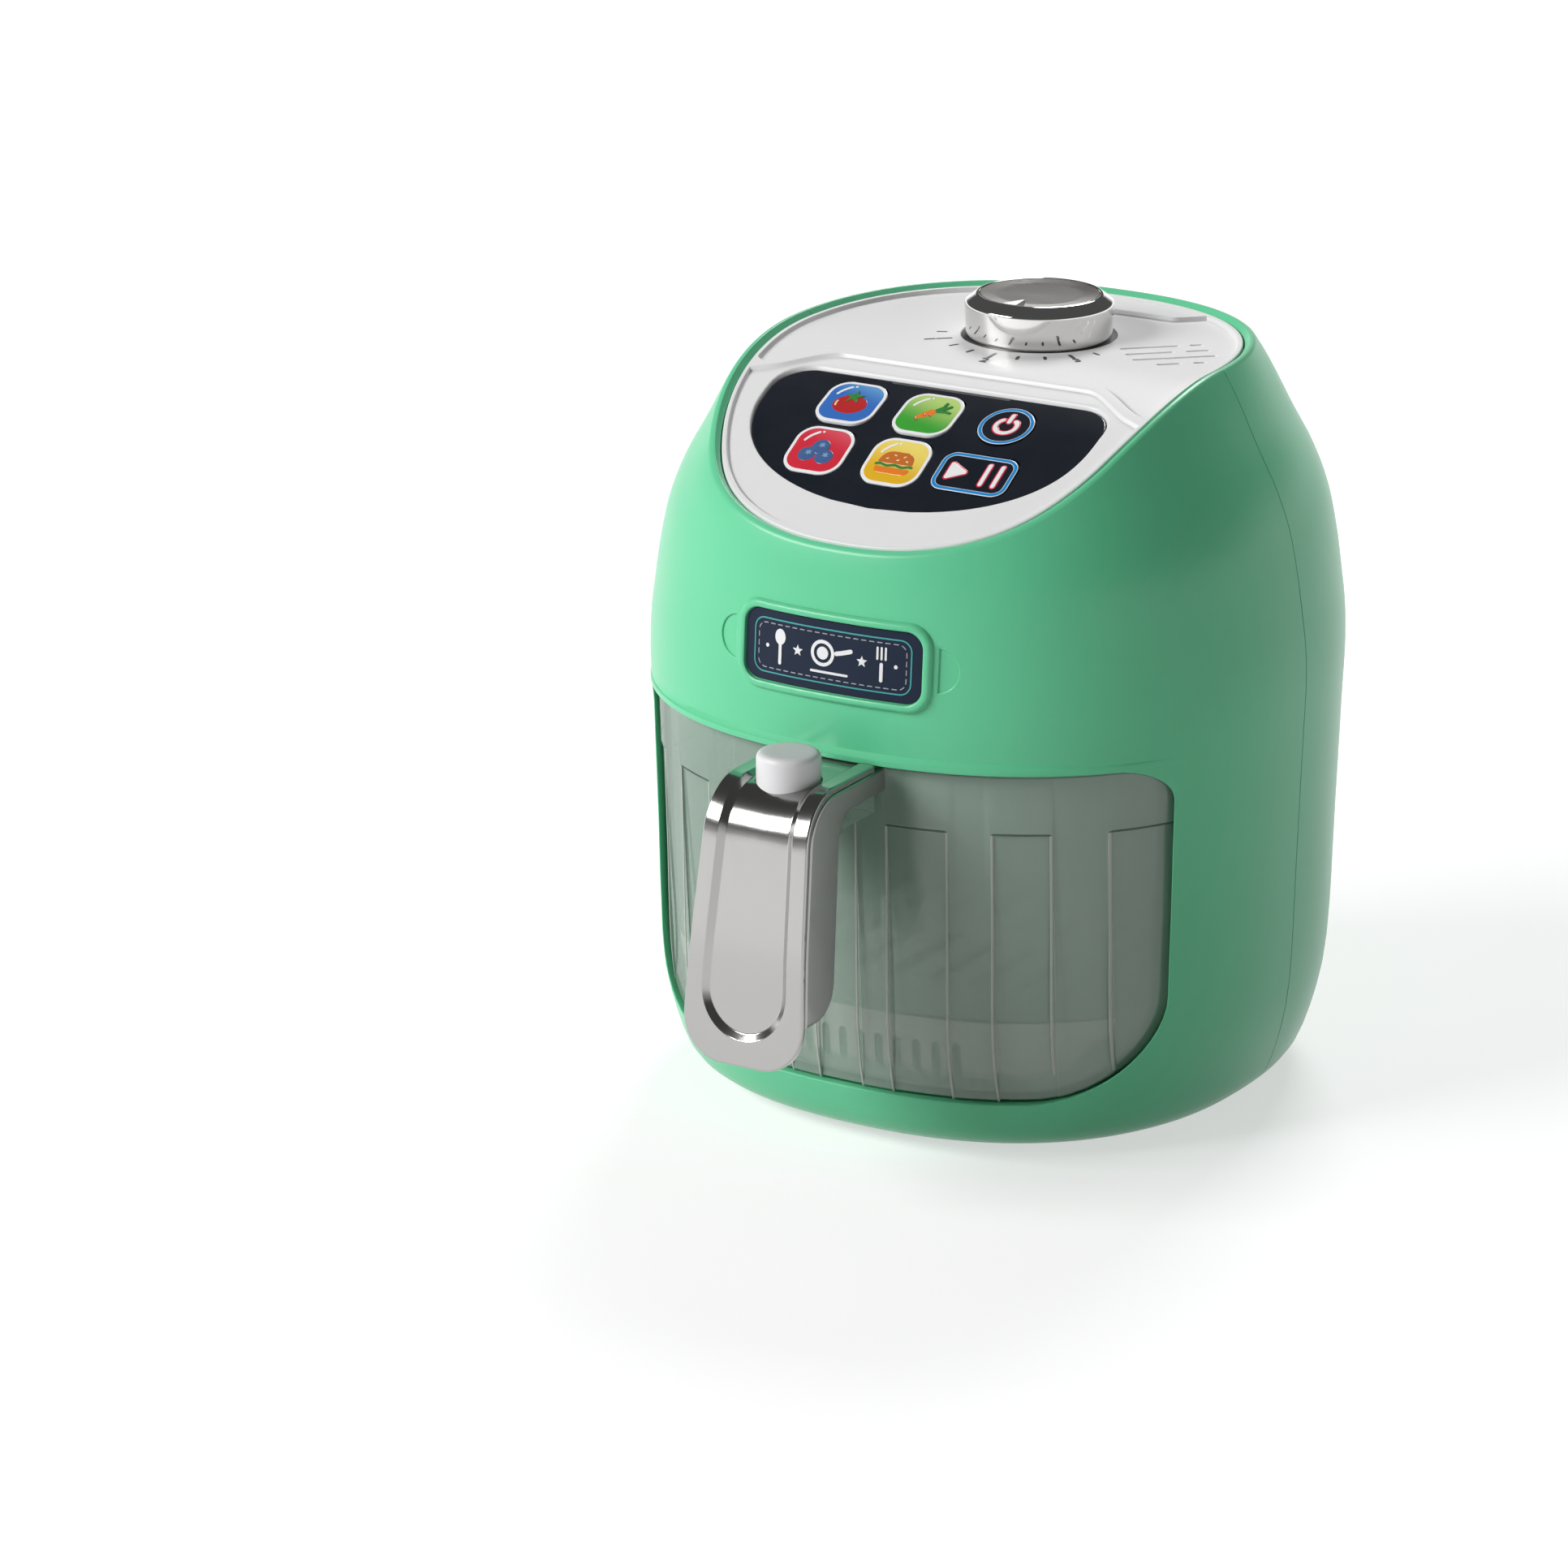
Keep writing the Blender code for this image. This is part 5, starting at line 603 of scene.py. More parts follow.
def flared_cutter(outline, deep, edge=0.5, place=on_face, side=-1):
    """Cutter for the skin, from outside it to deep, with a rounded edge. side is -1 for the front."""
    rings = ((edge, None, side * FAR_OUT), (edge, 0.6, 0), (edge, 0.0, 0), (edge * 0.55, -edge * 0.15, 0),
             (edge * 0.2, -edge * 0.5, 0), (0.0, -edge, 0), (0.0, None, deep))
    rows = []
    for grow, height, flat in rings:
        x, z = offset(outline, -grow).T
        rows.append(np.stack([x, np.full(len(x), flat), z], -1) if height is None else place(x, z, height))
    return skin("cutter", rows)


def window_outline(shrink=0.0, raised=0.0):
    low, high = 17.0 + shrink, 103.8 - shrink + raised
    corners = [(-72.8 + shrink, low), (72.8 - shrink, low), (74.6 - shrink, high), (-74.6 + shrink, high)]
    outline = rounded(corners, [27.0 - shrink, 27.0 - shrink, 9.0 - shrink, 9.0 - shrink], 14)
    dense = []
    for start, end in zip(outline, np.roll(outline, -1, 0)):
        parts = max(1, int(np.linalg.norm(end - start) / 3.0))
        dense += [start + (end - start) * k / parts for k in range(parts)]
    return np.array(dense)


carve(front_shell, flared_cutter(window_outline(), -25.0))
for side in (-1, 1):
    half_round = [(side * (THUMB_X + THUMB_RADIUS * math.cos(t)), LABEL_Z + THUMB_RADIUS * math.sin(t))
                  for t in side * np.linspace(-1.45, 1.45, 25)]
    rings = []
    for grow, height in ((0.35, 3.0), (0.35, 0.05), (0.1, -0.12), (0.0, -0.45)):
        rings.append(on_face(*offset(loop(half_round), -grow).T, height))
    carve(front_shell, skin("thumb_cutter", rings))
fit(front_shell, "housing", "green_plastic", MINT, "front_shell")

# %% Rear groove, vents, battery opening and screw wells
GROOVE = ((-3.0, 91.0), (0.0, 91.0), (0.7, 91.5), (1.0, 92.2), (1.0, 93.8), (0.7, 94.5), (0.0, 95.0), (-3.0, 95.0))
groove_rows = [ring_point(np.linspace(0.62, math.pi - 0.62, 90), np.full(90, z), inset) for inset, z in GROOVE]
carve(rear_shell, skin("groove_cutter", np.array(groove_rows).transpose(1, 0, 2)))
openings = [(rectangle(40.0, 3.2, 1.5, (0.0, 36.0 + 8.0 * index), 5), 56.0) for index in range(6)]
openings += [(rectangle(46.8, 52.7, 3.0, (0.0, 136.55)), 62.0)]
openings += [(circle(3.1, 24, (side * 60.0, 128.0)), 20.0) for side in (-1, 1)]
for outline, deep in openings:
    carve(rear_shell, flared_cutter(outline, deep, 0.4, on_rear, 1))
fit(rear_shell, "housing", "green_plastic", MINT, "rear_shell")
print("front shell after cutting:", len(front_shell.data.polygons))

# %% [markdown]
# ## White panel
#
# The panel drops into the rim. It has a raised border, a bead that runs across and bends forward into
# the border, a bezel that slopes with the screen, a wide field round the dial and a step at the back.
# On the map these are four outlines and the height of the ground inside each.

# %% Panel outlines
PANEL_INSET = WALL + 0.35
BORDER_INSET = PANEL_INSET + 1.3
BEAD_HALF = 1.45
TAB_Y = 53.4


def rim_outline(inset):
    return rim_point(np.arange(240) * math.tau / 240, inset, 0.0)[:, :2]


def bead_edge(gap, reach):
    """Edge of the bead, ahead of its middle or behind it. It runs straight, then sweeps forward."""
    x = np.linspace(-reach, reach, 121)
    t = np.clip((np.abs(x) - 34.0) / 21.0, 0, 1)
    y = -17.5 - 11.2 * t * t * (3 - 2 * t)
    slope = np.gradient(y, x)
    size = np.sqrt(1 + slope ** 2)
    return np.stack([x - gap * slope / size, y + gap / size], -1)


def bezel_outline():
    border, edge = rim_outline(BORDER_INSET), bead_edge(-BEAD_HALF, 52.6)
    ahead = border[border[:, 1] < edge[0, 1] - 0.9]
    order = np.argsort(np.arctan2(ahead[:, 1] + 30, ahead[:, 0]))
    return np.concatenate([ahead[order], edge[::-1]])


def field_outline():
    border, edge = rim_outline(BORDER_INSET), bead_edge(BEAD_HALF, TAB_Y)
    behind = border[(border[:, 1] > edge[0, 1] + 0.9) & ((border[:, 1] < TAB_Y) | (np.abs(border[:, 0]) > 31.0))]
    right, left = behind[behind[:, 0] > 0], behind[behind[:, 0] <= 0]
    tab = rounded([(30.2, TAB_Y), (24.0, 47.9), (-24.0, 47.9), (-30.2, TAB_Y)], [0, 3.0, 3.0, 0], 5)
    return np.concatenate([right[np.argsort(right[:, 1])], tab, left[np.argsort(-left[:, 1])], edge])


def back_step_outline():
    border = rim_outline(BORDER_INSET)
    behind = border[(border[:, 1] > TAB_Y + 1) & (np.abs(border[:, 0]) < 30.4)]
    behind = behind[np.argsort(-behind[:, 0])]
    return np.concatenate([behind, loop([(-29.4, 53.6), (-23.6, 48.4), (23.6, 48.4), (29.4, 53.6)])])


def screen_outline(shrink=0.0):
    """Screen: straight behind, round corners, and a bow in front."""
    half, behind, length, corner_radius = 46.9 - shrink, -24.7 - shrink, 41.3 - 2 * shrink, 9.5
    share = np.linspace(0.30, 1.0, 40)
    across = (1 - ((share - 0.30) / 0.70) ** 2.35) ** (1 / 1.95) * 0.998
    middle = (half - corner_radius, behind - corner_radius)
    corner = [(middle[0] + corner_radius * math.sin(a), middle[1] + corner_radius * math.cos(a))
              for a in np.linspace(0, math.pi / 2, 10)]
    right = corner + [(half * a, behind - length * b) for a, b in zip(across, share)]
    return loop(reversed(right + [(-x, y) for x, y in reversed(right[:-1])]))


# %% Speaker slots
SLOT_TURN, SLOT_PITCH, SLOT_REACH, SLOT_WIDTH = math.radians(42.0), 5.7, 20.4, 1.3
SLOT_ROWS = ((-1.5, -0.52, 0.17), (-1.5, 0.37, 0.47), (-0.5, -0.52, 0.03), (-0.5, 0.25, 0.49), (0.5, -0.50, 0.50),
             (1.5, -0.27, -0.03), (1.5, 0.19, 0.28))
spin = Matrix.Rotation(SLOT_TURN, 2)
slots = []
for row, start, end in SLOT_ROWS:
    middle = Vector((38.9, 17.6)) + spin @ Vector(((start + end) / 2 * SLOT_REACH, -row * SLOT_PITCH))
    flat = rectangle((end - start) * SLOT_REACH + SLOT_WIDTH, SLOT_WIDTH, 0.6, steps=5)
    slots.append(loop([middle + spin @ Vector(point) for point in flat]))
print("speaker slots:", len(slots))

# %% Build the panel
DIAL = (0.0, 19.5)


def stepped(depth, run=0.12, soft=0.45):
    """Heights over a rounded edge, down a steep wall, to a flat floor."""
    return ((-soft, 0.0), (-soft * 0.5, -depth * 0.05), (-soft * 0.15, -depth * 0.2), (run * 0.3, -depth * 0.6),
            (run, -depth * 0.93), (run + 0.12, -depth), (run + 0.3, -depth))


panel_steps = [
    (rim_outline(PANEL_INSET), ROUND_EDGE),
    (bezel_outline(), stepped(1.0, 0.25, 0.4)),
    (field_outline(), stepped(1.2, 0.3, 0.4)),
    (back_step_outline(), stepped(0.5, 0.2, 0.3)),
    (screen_outline(), stepped(2.2, 0.08, 0.75)),
    (circle(19.75, 96, DIAL), stepped(1.6, 0.05, 0.3)),
    *((slot, stepped(0.8, 0.15, 0.2)) for slot in slots),
]
bend_lines = lines_along(-80, 2, -70, 70, 1.6)
panel = relief("white_panel_skin", rim_outline(PANEL_INSET), on_top, -4.7, panel_steps, lines=bend_lines,
               level=-0.9, sharp=40)
fit(panel, "housing", "white_plastic", WHITE, "top_panel")
print("panel faces:", len(panel.data.polygons))

# %% [markdown]
# ## Screen
#
# A dark glossy sheet lies in the recess, with a hole for each key. It is the same map again, with
# the bend of the panel under it. The holes are longer towards the back, because the slope is steeper
# than the way that a key is pressed.

# %% Screen sheet
SCREEN_DROP = 2.8
COLUMNS, ROWS = (-22.58, -0.68, 21.22), (-35.9, -51.6)
PICTURE_KEY = rectangle(16.3, 16.0, 5.2)
KEYS = {
    "blue": (COLUMNS[0], ROWS[0], PICTURE_KEY),
    "green": (COLUMNS[1], ROWS[0], PICTURE_KEY),
    "power": (COLUMNS[2], ROWS[0], circle(7.2, 64)),
    "red": (COLUMNS[0], ROWS[1], PICTURE_KEY),
    "yellow": (COLUMNS[1], ROWS[1], PICTURE_KEY),
    "play_pause": (COLUMNS[2], ROWS[1], rectangle(20.8, 13.0, 3.6)),
}


def slope_at(y):
    return math.asin(min(max(BEND_Y - y, 0), BEND_RADIUS * math.sin(TILT)) / BEND_RADIUS)


def key_hole(name, gap):
    x, y, outline = KEYS[name]
    grown = offset(outline, -gap)
    grown[:, 1] += np.clip(grown[:, 1] / 3, 0, 1) * 0.5
    return np.stack([x + grown[:, 0], y + grown[:, 1] * math.cos(slope_at(y))], -1)


sheet_edge = screen_outline(0.25)
screen = relief("screen_sheet", sheet_edge, on_top, -SCREEN_DROP - 0.8,
                [(sheet_edge, ((0.0, -0.25), (0.1, -0.08), (0.3, 0.0)))],
                holes=[key_hole(name, 0.25) for name in KEYS], lines=bend_lines, level=-SCREEN_DROP)
fit(screen, "housing", "navy_gloss", NAVY, "screen_cover")
# A black strip along the back of the screen is painted shade for a slot there.
slit = rectangle(33.4, 0.75, 0.35, (0.0, -25.75), 4)
fit(relief("screen_slit_painted_shade", slit, on_top, -SCREEN_DROP - 0.2, level=-SCREEN_DROP + 0.04), "housing", "navy_gloss", INK)
print("screen faces:", len(screen.data.polygons))

# %% [markdown]
# ## Keys
#
# Each key is a cap that stands a hair above the sheet. A print on a real key has no height of its
# own, but here each colour of it is a thin layer, so that its edges stay sharp from close by. The
# pictures are simple foods: a tomato, a carrot, berries and a bun.


# %% Key tools
def key_place(name):
    """Lays a flat map on a key, square to the slope there."""
    x, y, _ = KEYS[name]
    level, rise, run = float(top_height(y)) - SCREEN_DROP, math.sin(slope_at(y)), math.cos(slope_at(y))
    return lambda u, v, h: np.stack([x + u, y + v * run - h * rise, level + v * rise + h * run], -1)


def print_on(name, label, outline, low, high, ink, soft=0.06, holes=(), dome=(), nodes=()):
    """Thin layer on a key, with its edge rounded over. dome swells it by the distance from its edge."""
    steps = [(outline, ((0.0, -soft), (soft * 0.4, -soft * 0.35), (soft * 1.2, 0.0)))]
    if dome:
        steps.append((outline, dome))
    piece = relief(f"{name}_{label}", outline, key_place(name), low, steps, holes=holes, level=high, sharp=20)
    material, slot = ink
    fit(piece, name + "_key", slot, material, *nodes)


def band(path, width, steps=6):
    """Outline round a line, with round ends."""
    path = np.array(path, float)
    along = np.gradient(path, axis=0)
    along /= np.linalg.norm(along, axis=1)[:, None]
    side = np.stack([-along[:, 1], along[:, 0]], -1) * width / 2
    caps = []
    for (x, y), (a, b) in ((path[-1], -side[-1]), (path[0], side[0])):
        turns = np.arange(1, steps) * math.pi / steps
        run, rise = np.cos(turns), np.sin(turns)
        caps.append(np.stack([x + a * run - b * rise, y + a * rise + b * run], -1))
    return np.concatenate([path - side, caps[0], (path + side)[::-1], caps[1]])


def star(radius, points=5, inner=0.45, centre=(0.0, 0.0)):
    turns = np.arange(points * 2) * math.pi / points + math.pi / 2
    reach = np.where(np.arange(points * 2) % 2 == 0, radius, radius * inner)
    return np.stack([centre[0] + reach * np.cos(turns), centre[1] + reach * np.sin(turns)], -1)


def printed(name, colour, slot, second=None, row=0):
    """Glossy print, fading up the key from one colour to a second."""
    middle = (ROWS[row] + AXIS_Y) * MM
    shades = (second, middle - 0.005, middle + 0.0065, (0.25, 1.0, 0.0)) if second else None
    return finish(name, colour, .22, depth=.01, rubbed=.05, dusty=.02, shades=shades, Coat_Weight=.5), slot


PRINT_WHITE = printed("print_white", (.86, .86, .87), "white_plastic")
PRINT_PINK = printed("print_pink", (.7, .03, .075), "red_plastic")
PRINT_CYAN = printed("print_cyan", (.004, .24, .62), "blue_plastic")
PRINT_RED = printed("print_tomato", (.48, .012, .014), "red_plastic")
PRINT_LEAF = printed("print_leaf", (.03, .23, .035), "lime_plastic")
PRINT_ORANGE = printed("print_orange", (.8, .21, .015), "yellow_plastic")
PRINT_BROWN = printed("print_crust", (.56, .15, .02), "yellow_plastic")
PRINT_CREAM = printed("print_cream", (.85, .66, .33), "yellow_plastic")
PRINT_BERRY = printed("print_berry", (.055, .12, .29), "blue_plastic")
PRINT_BERRY_LIGHT = printed("print_berry_light", (.19, .33, .56), "blue_plastic")
print("print colours ready")

# %% Picture keys
GROUNDS = {
    "blue": ("blue_plastic", (.03, .15, .52), (.2, .5, .74), 0),
    "green": ("lime_plastic", (.04, .36, .03), (.5, .69, .2), 0),
    "red": ("red_plastic", (.64, .02, .042), (.78, .15, .21), 1),
    "yellow": ("yellow_plastic", (.76, .44, .012), (.88, .72, .16), 1),
}
for name, (slot, low_colour, high_colour, row) in GROUNDS.items():
    white = (PRINT_WHITE[0], slot)
    print_on(name, "cap", PICTURE_KEY, -2.6, 0.2, white, soft=0.12, nodes=(name + "_button",))
    ground = printed(name + "_ground", low_colour, slot, high_colour, row)
    print_on(name, "ground", offset(PICTURE_KEY, 0.8), 0.1, 0.3, ground,
             dome=((0.0, -0.10), (0.5, -0.05), (1.6, -0.01), (3.0, 0.0)))
    gleams = [band(arc(6.6, 158, 122, (0.9, 0.1), 8), 0.75), circle(0.36, 12, (-1.5, 6.05))]
    print_on(name, "gleam", gleams, 0.2, 0.36, white)

tomato = circle(1.0, 40) * (4.7, 3.6) + (0.0, -0.9)
print_on("blue", "tomato", tomato, 0.2, 0.44, PRINT_RED, dome=((0.0, -0.12), (0.8, -0.04), (2.4, 0.0)))
print_on("blue", "tomato_leaf", star(2.7, 5, 0.36, (0.0, 2.0)), 0.3, 0.56, PRINT_LEAF)
gleam = band(arc(3.0, 200, 168, (0.0, -0.9), 8) * (1.25, 1.0), 0.55)
print_on("blue", "tomato_gleam", gleam, 0.3, 0.48, (PRINT_CREAM[0], "red_plastic"))

carrot = rounded([(-5.2, -4.3), (2.4, 0.3), (0.6, 2.9)], [0.7, 1.4, 1.4], 6)
print_on("green", "carrot", carrot, 0.2, 0.44, PRINT_ORANGE, dome=((0.0, -0.12), (0.6, -0.04), (1.5, 0.0)))
rings = ([(-2.7, -2.0), (-1.9, -2.9)], [(-1.2, -0.2), (-0.5, -0.9)], [(0.2, -0.1), (1.0, -0.8)])
print_on("green", "carrot_rings", [band(path, 0.34) for path in rings], 0.3, 0.5, PRINT_RED)
leaves = ([(1.6, 1.8), (2.9, 3.2), (3.1, 4.7)], [(1.9, 1.5), (3.6, 2.6), (4.7, 3.7)],
          [(2.1, 1.2), (4.0, 1.5), (5.3, 1.3)])
for index, path in enumerate(leaves):
    print_on("green", f"carrot_leaf_{index + 1}", band(path, 0.9), 0.2, 0.46 + 0.03 * index, PRINT_LEAF)

for index, (x, y) in enumerate(((-2.5, -1.9), (2.4, -2.1), (0.1, 1.0))):
    rise = 0.04 * index
    print_on("red", f"berry_{index + 1}", circle(2.45, 32, (x, y)), 0.2, 0.42 + rise, PRINT_BERRY,
             dome=((0.0, -0.12), (0.6, -0.04), (1.6, 0.0)))
    crown = star(1.05, 6, 0.5, (x + 0.3, y + 0.5))
    print_on("red", f"berry_crown_{index + 1}", crown, 0.3, 0.47 + rise, PRINT_BERRY_LIGHT)

bun = rounded([(-4.9, -0.9), (4.9, -0.9), (4.2, 3.3), (-4.2, 3.3)], [0.5, 0.5, 3.0, 3.0], 8)
print_on("yellow", "bun_top", bun, 0.2, 0.46, PRINT_BROWN, dome=((0.0, -0.12), (0.8, -0.04), (2.0, 0.0)))
wave = np.stack([np.linspace(-4.9, 4.9, 25), -1.5 + 0.25 * np.sin(np.linspace(0, 15, 25))], -1)
print_on("yellow", "bun_filling", band(wave, 0.8), 0.2, 0.42, PRINT_LEAF)
base = rounded([(-4.7, -4.3), (4.7, -4.3), (4.9, -2.2), (-4.9, -2.2)], [1.5, 1.5, 0.4, 0.4], 6)
print_on("yellow", "bun_base", base, 0.2, 0.44, PRINT_ORANGE, dome=((0.0, -0.12), (0.5, -0.03), (1.0, 0.0)))
seeds = []
for x, y, turn in ((-2.6, 0.6, 20), (-0.9, 1.9, -15), (0.4, 0.4, 10), (1.8, 1.7, 35), (3.0, 0.3, -25)):
    spin = np.array(Matrix.Rotation(math.radians(turn), 2))
    seeds.append(circle(1.0, 10) * (0.45, 0.24) @ spin.T + (x, y))
print_on("yellow", "bun_seeds", seeds, 0.3, 0.52, PRINT_CREAM)
print("picture keys ready")

# %% [markdown]
# The power key and the play and pause key are dark. A lit line runs round each, and the signs are
# white with a thin red edge.

# %% Power, play and pause
SIGNS = {
    "power": [arc(2.75, 128, 412), [(0.0, 1.7), (0.0, 3.0), (0.0, 4.3)]],
    "play_pause": [[(x, -3.0), (x, 0.4), (x, 3.5)] for x in (2.9, 6.4)],
}
for name in SIGNS:
    outline = KEYS[name][2]
    print_on(name, "cap", outline, -2.6, 0.15, (NAVY, "navy_gloss"), soft=0.1, nodes=(name + "_button",))
    print_on(name, "line_edge", offset(outline, 0.05), 0.05, 0.21, PRINT_WHITE, holes=[offset(outline, 1.2)])
    print_on(name, "line", offset(outline, 0.24), 0.1, 0.27, PRINT_CYAN, holes=[offset(outline, 1.05)])
for name, paths in SIGNS.items():
    for index, path in enumerate(paths):
        print_on(name, f"sign_edge_{index + 1}", band(path, 1.85), 0.05, 0.2 + 0.01 * index, PRINT_PINK)
        print_on(name, f"sign_{index + 1}", band(path, 1.15), 0.1, 0.27 + 0.01 * index, PRINT_WHITE)
triangle = rounded([(-7.8, -3.7), (-0.9, 0.1), (-7.8, 3.9)], 0.9, 6)
print_on("play_pause", "sign_edge_3", triangle, 0.05, 0.2, PRINT_PINK)
print_on("play_pause", "sign_3", offset(triangle, 0.38), 0.1, 0.27, PRINT_WHITE)
print("dark keys ready")

# %% [markdown]
# ## Dial
#
# The dial is a plated cap. Its side is upright, a bevel leads to the top, and a disc with a pointer
# notch lies in the top. Under it, the panel has a scale of ticks with three numbers.

# %% Dial
DISC_Z, POINTER_Z = 198.08, 197.98
CAP = ((17.9, 186.15), (18.4, 186.3), (18.5, 186.7), (18.62, 188.5), (18.94, 195.3), (18.9, 195.8), (18.72, 196.15),
       (18.4, 196.4), (16.5, 197.75), (16.3, 197.95), (16.1, 198.1), (15.9, 198.17), (15.6, 198.2), (15.4, 198.14),
       (15.3, 198.0), (15.28, 197.6), (15.25, 196.6))
fit(turned("dial_cap", CAP, DIAL, 128), "dial", "chrome_plate", CHROME, "dial_knob")


def level_at(floor):
    return lambda x, y, h: np.stack([x, y, floor + h], -1)


disc_edge = circle(15.12, 96, DIAL)
notch = loop([(-3.4, 4.9), (3.4, 4.9), (0.0, 12.0)])
disc_steps = [(disc_edge, ((0.0, -0.15), (0.05, -0.06), (0.15, 0.0))),
              (notch, ((0.0, 0.0), (0.03, -0.12), (2.0, -0.8))),
              (circle(14.9, 96, DIAL), ((0.0, 0.0), (3.4, -0.30), (4.4, -0.35), (14.9, -0.40)))]
disc = relief("dial_top_disc", disc_edge, level_at(DISC_Z), -1.78, disc_steps, lines=[((0.0, 4.9), (0.0, 12.0))])
fit(disc, "dial", "silver_plastic", DISC, "dial_disc")
# The notch's two facets are thin pieces, one pale and one dark: painted light and painted shade on the V.
for label, left, right, material in (("light", -3.3, 0.0, POINTER_PAINTED_LIT), ("dark", 0.0, 3.3, POINTER_PAINTED_SHADE)):
    facet = relief(f"dial_pointer_painted_{label}", loop([(left, 5.0), (right, 5.0), (0.0, 11.8)]), level_at(POINTER_Z), -0.78,
                   [(notch, ((0.0, 0.0), (2.0, -0.45)))], sharp=60)
    fit(facet, "dial", "silver_plastic", material)
# A black ring at the bottom of the gap round the dial is painted shadow.
gap = relief("dial_gap_painted_shadow", circle(19.7, 96, DIAL), on_top, -2.6, holes=[circle(17.0, 96, DIAL)], level=-2.45)
fit(gap, "housing", "white_plastic", INK)

# %% Scale round the dial
TICK_RADIUS, NUMBER_RADIUS, TICK_TURN = 24.6, 28.5, 16
marks = []
for index in range(-4, 5):
    turn = math.radians(270 + TICK_TURN * index)
    out = np.array([math.cos(turn), math.sin(turn)])
    length, width = (3.4, 1.0) if index % 3 == 0 else (2.0, 0.9)
    reach = (TICK_RADIUS - length / 2, TICK_RADIUS, TICK_RADIUS + length / 2)
    marks.append(band([np.array(DIAL) + out * radius for radius in reach], width, 4))
scale = relief("dial_scale_marks", marks, on_top, -2.2, level=-2.07)
fit(scale, "housing", "black_plastic", INK)
for number in (1, 2, 3):
    turn = math.radians(270 + TICK_TURN * 3 * (number - 2))
    letters = bpy.data.curves.new(f"number_{number}_curve", "FONT")
    letters.body = str(number)
    letters.size, letters.extrude, letters.offset = 3.9 * MM, 0.04 * MM, 0.1 * MM
    letters.align_x, letters.align_y = "CENTER", "CENTER"
    flat = add_object("flat_number", letters)
    mesh = bpy.data.meshes.new_from_object(flat.evaluated_get(bpy.context.evaluated_depsgraph_get()))
    bpy.data.objects.remove(flat, do_unlink=True)
    x, y = NUMBER_RADIUS * math.cos(turn), DIAL[1] + NUMBER_RADIUS * math.sin(turn)
    place = Vector((x, y + AXIS_Y, float(top_height(y)) - 2.03)) * MM
    turned_up = Matrix.Rotation(slope_at(y), 4, "X") @ Matrix.Rotation(turn + math.pi / 2, 4, "Z")
    mesh.transform(Matrix.Translation(place) @ turned_up)
    fit(add_object(f"dial_number_{number}", mesh), "housing", "black_plastic", INK)
print("dial ready, ticks:", len(marks))

# %% [markdown]
# ## Nameplate
#
# A raised frame holds a dark plate. The plate is bare of words: it has a teal line, a dashed line and
# a row of kitchen signs.

# %% Frame and plate
MIDDLE = (0.0, LABEL_Z)
frame_edge = rectangle(54.4, 22.4, 6.2, MIDDLE, 12)
frame_hole = rectangle(49.8, 18.2, 4.3, MIDDLE, 12)
plate_frame = relief("nameplate_rim", frame_edge, on_face, -0.8,
                     [(frame_edge, ((0.0, -1.15), (0.1, -0.75), (0.3, -0.35), (0.65, -0.08), (1.0, 0.0))),
                      (frame_hole, ((-0.75, 0.0), (-0.4, -0.06), (-0.12, -0.25), (0.0, -0.55)))],
                     holes=[frame_hole], lines=lines_across(-26, 26, LABEL_Z - 11, LABEL_Z + 11, 2.0), level=1.2)
fit(plate_frame, "housing", "green_plastic", MINT, "nameplate_frame")
TEAL = finish("print_teal", (.04, .33, .33), .4, drift=.06)
GREY_LINE = finish("print_grey", (.33, .34, .38), .4, drift=.06)
PLATE_WHITE = finish("print_plate_white", (.78, .78, .79), .4, drift=.03)


def label_piece(label, outline, low, high, material, slot="navy_gloss", holes=(), nodes=(), soft=0.04):
    piece = relief("nameplate_" + label, outline, on_face, low, [(outline, ((0.0, -soft), (soft, 0.0)))], holes=holes,
                   lines=lines_across(-24, 24, LABEL_Z - 9, LABEL_Z + 9, 2.0), level=high)
    fit(piece, "housing", slot, material, *nodes)


label_piece("sheet", rectangle(49.4, 17.8, 4.1, MIDDLE, 12), -0.4, 0.25, NAVY_PLATE, nodes=("nameplate",), soft=0.15)
label_piece("teal_line", rectangle(44.2, 13.8, 3.0, MIDDLE, 10), 0.1, 0.3, TEAL,
            holes=[rectangle(43.5, 13.1, 2.65, MIDDLE, 10)])
dash_path = rectangle(41.4, 11.2, 2.2, MIDDLE, 8)
dash_path = np.concatenate([dash_path, dash_path[:1]])
lengths = np.concatenate([[0.0], np.cumsum(np.linalg.norm(np.diff(dash_path, axis=0), axis=1))])
dashes = []
for start in np.arange(0.4, lengths[-1] - 1.4, 2.15):
    spots = np.linspace(start, start + 1.2, 4)
    dashes.append(band(np.stack([np.interp(spots, lengths, side) for side in dash_path.T], -1), 0.26, 3))
label_piece("dashes", dashes, 0.1, 0.29, GREY_LINE)

# %% Kitchen signs
PAN = (-1.9, 0.7)
strokes = [([(-14.2, -3.8), (-14.2, -1.0), (-14.2, 0.6)], 0.9), ([(14.2, -3.8), (14.2, -1.5), (14.2, 0.2)], 0.9),
           ([(-5.0, -4.0), (0.0, -4.0), (5.0, -4.0)], 0.6)]
row = [band(path, width) for path, width in strokes]
row += [star(1.5, centre=(side * 9.0, 0.2)) for side in (-1, 1)]
row += [circle(0.5, 16, (side * 18.0, 0.0)) for side in (-1, 1)]
row += [circle(1.0, 28) * (1.55, 2.0) + (-14.2, 2.7)]
fork = [band([(x, 1.5), (x, 3.0), (x, 4.3)], 0.55) for x in (13.1, 14.2, 15.3)]
pan_handle = [band([(1.9, 1.1), (3.6, 1.5), (5.9, 2.2)], 1.1), circle(1.6, 36, PAN)]
pan, pan_hole = [circle(3.3, 48, PAN)], [circle(2.45, 48, PAN)]
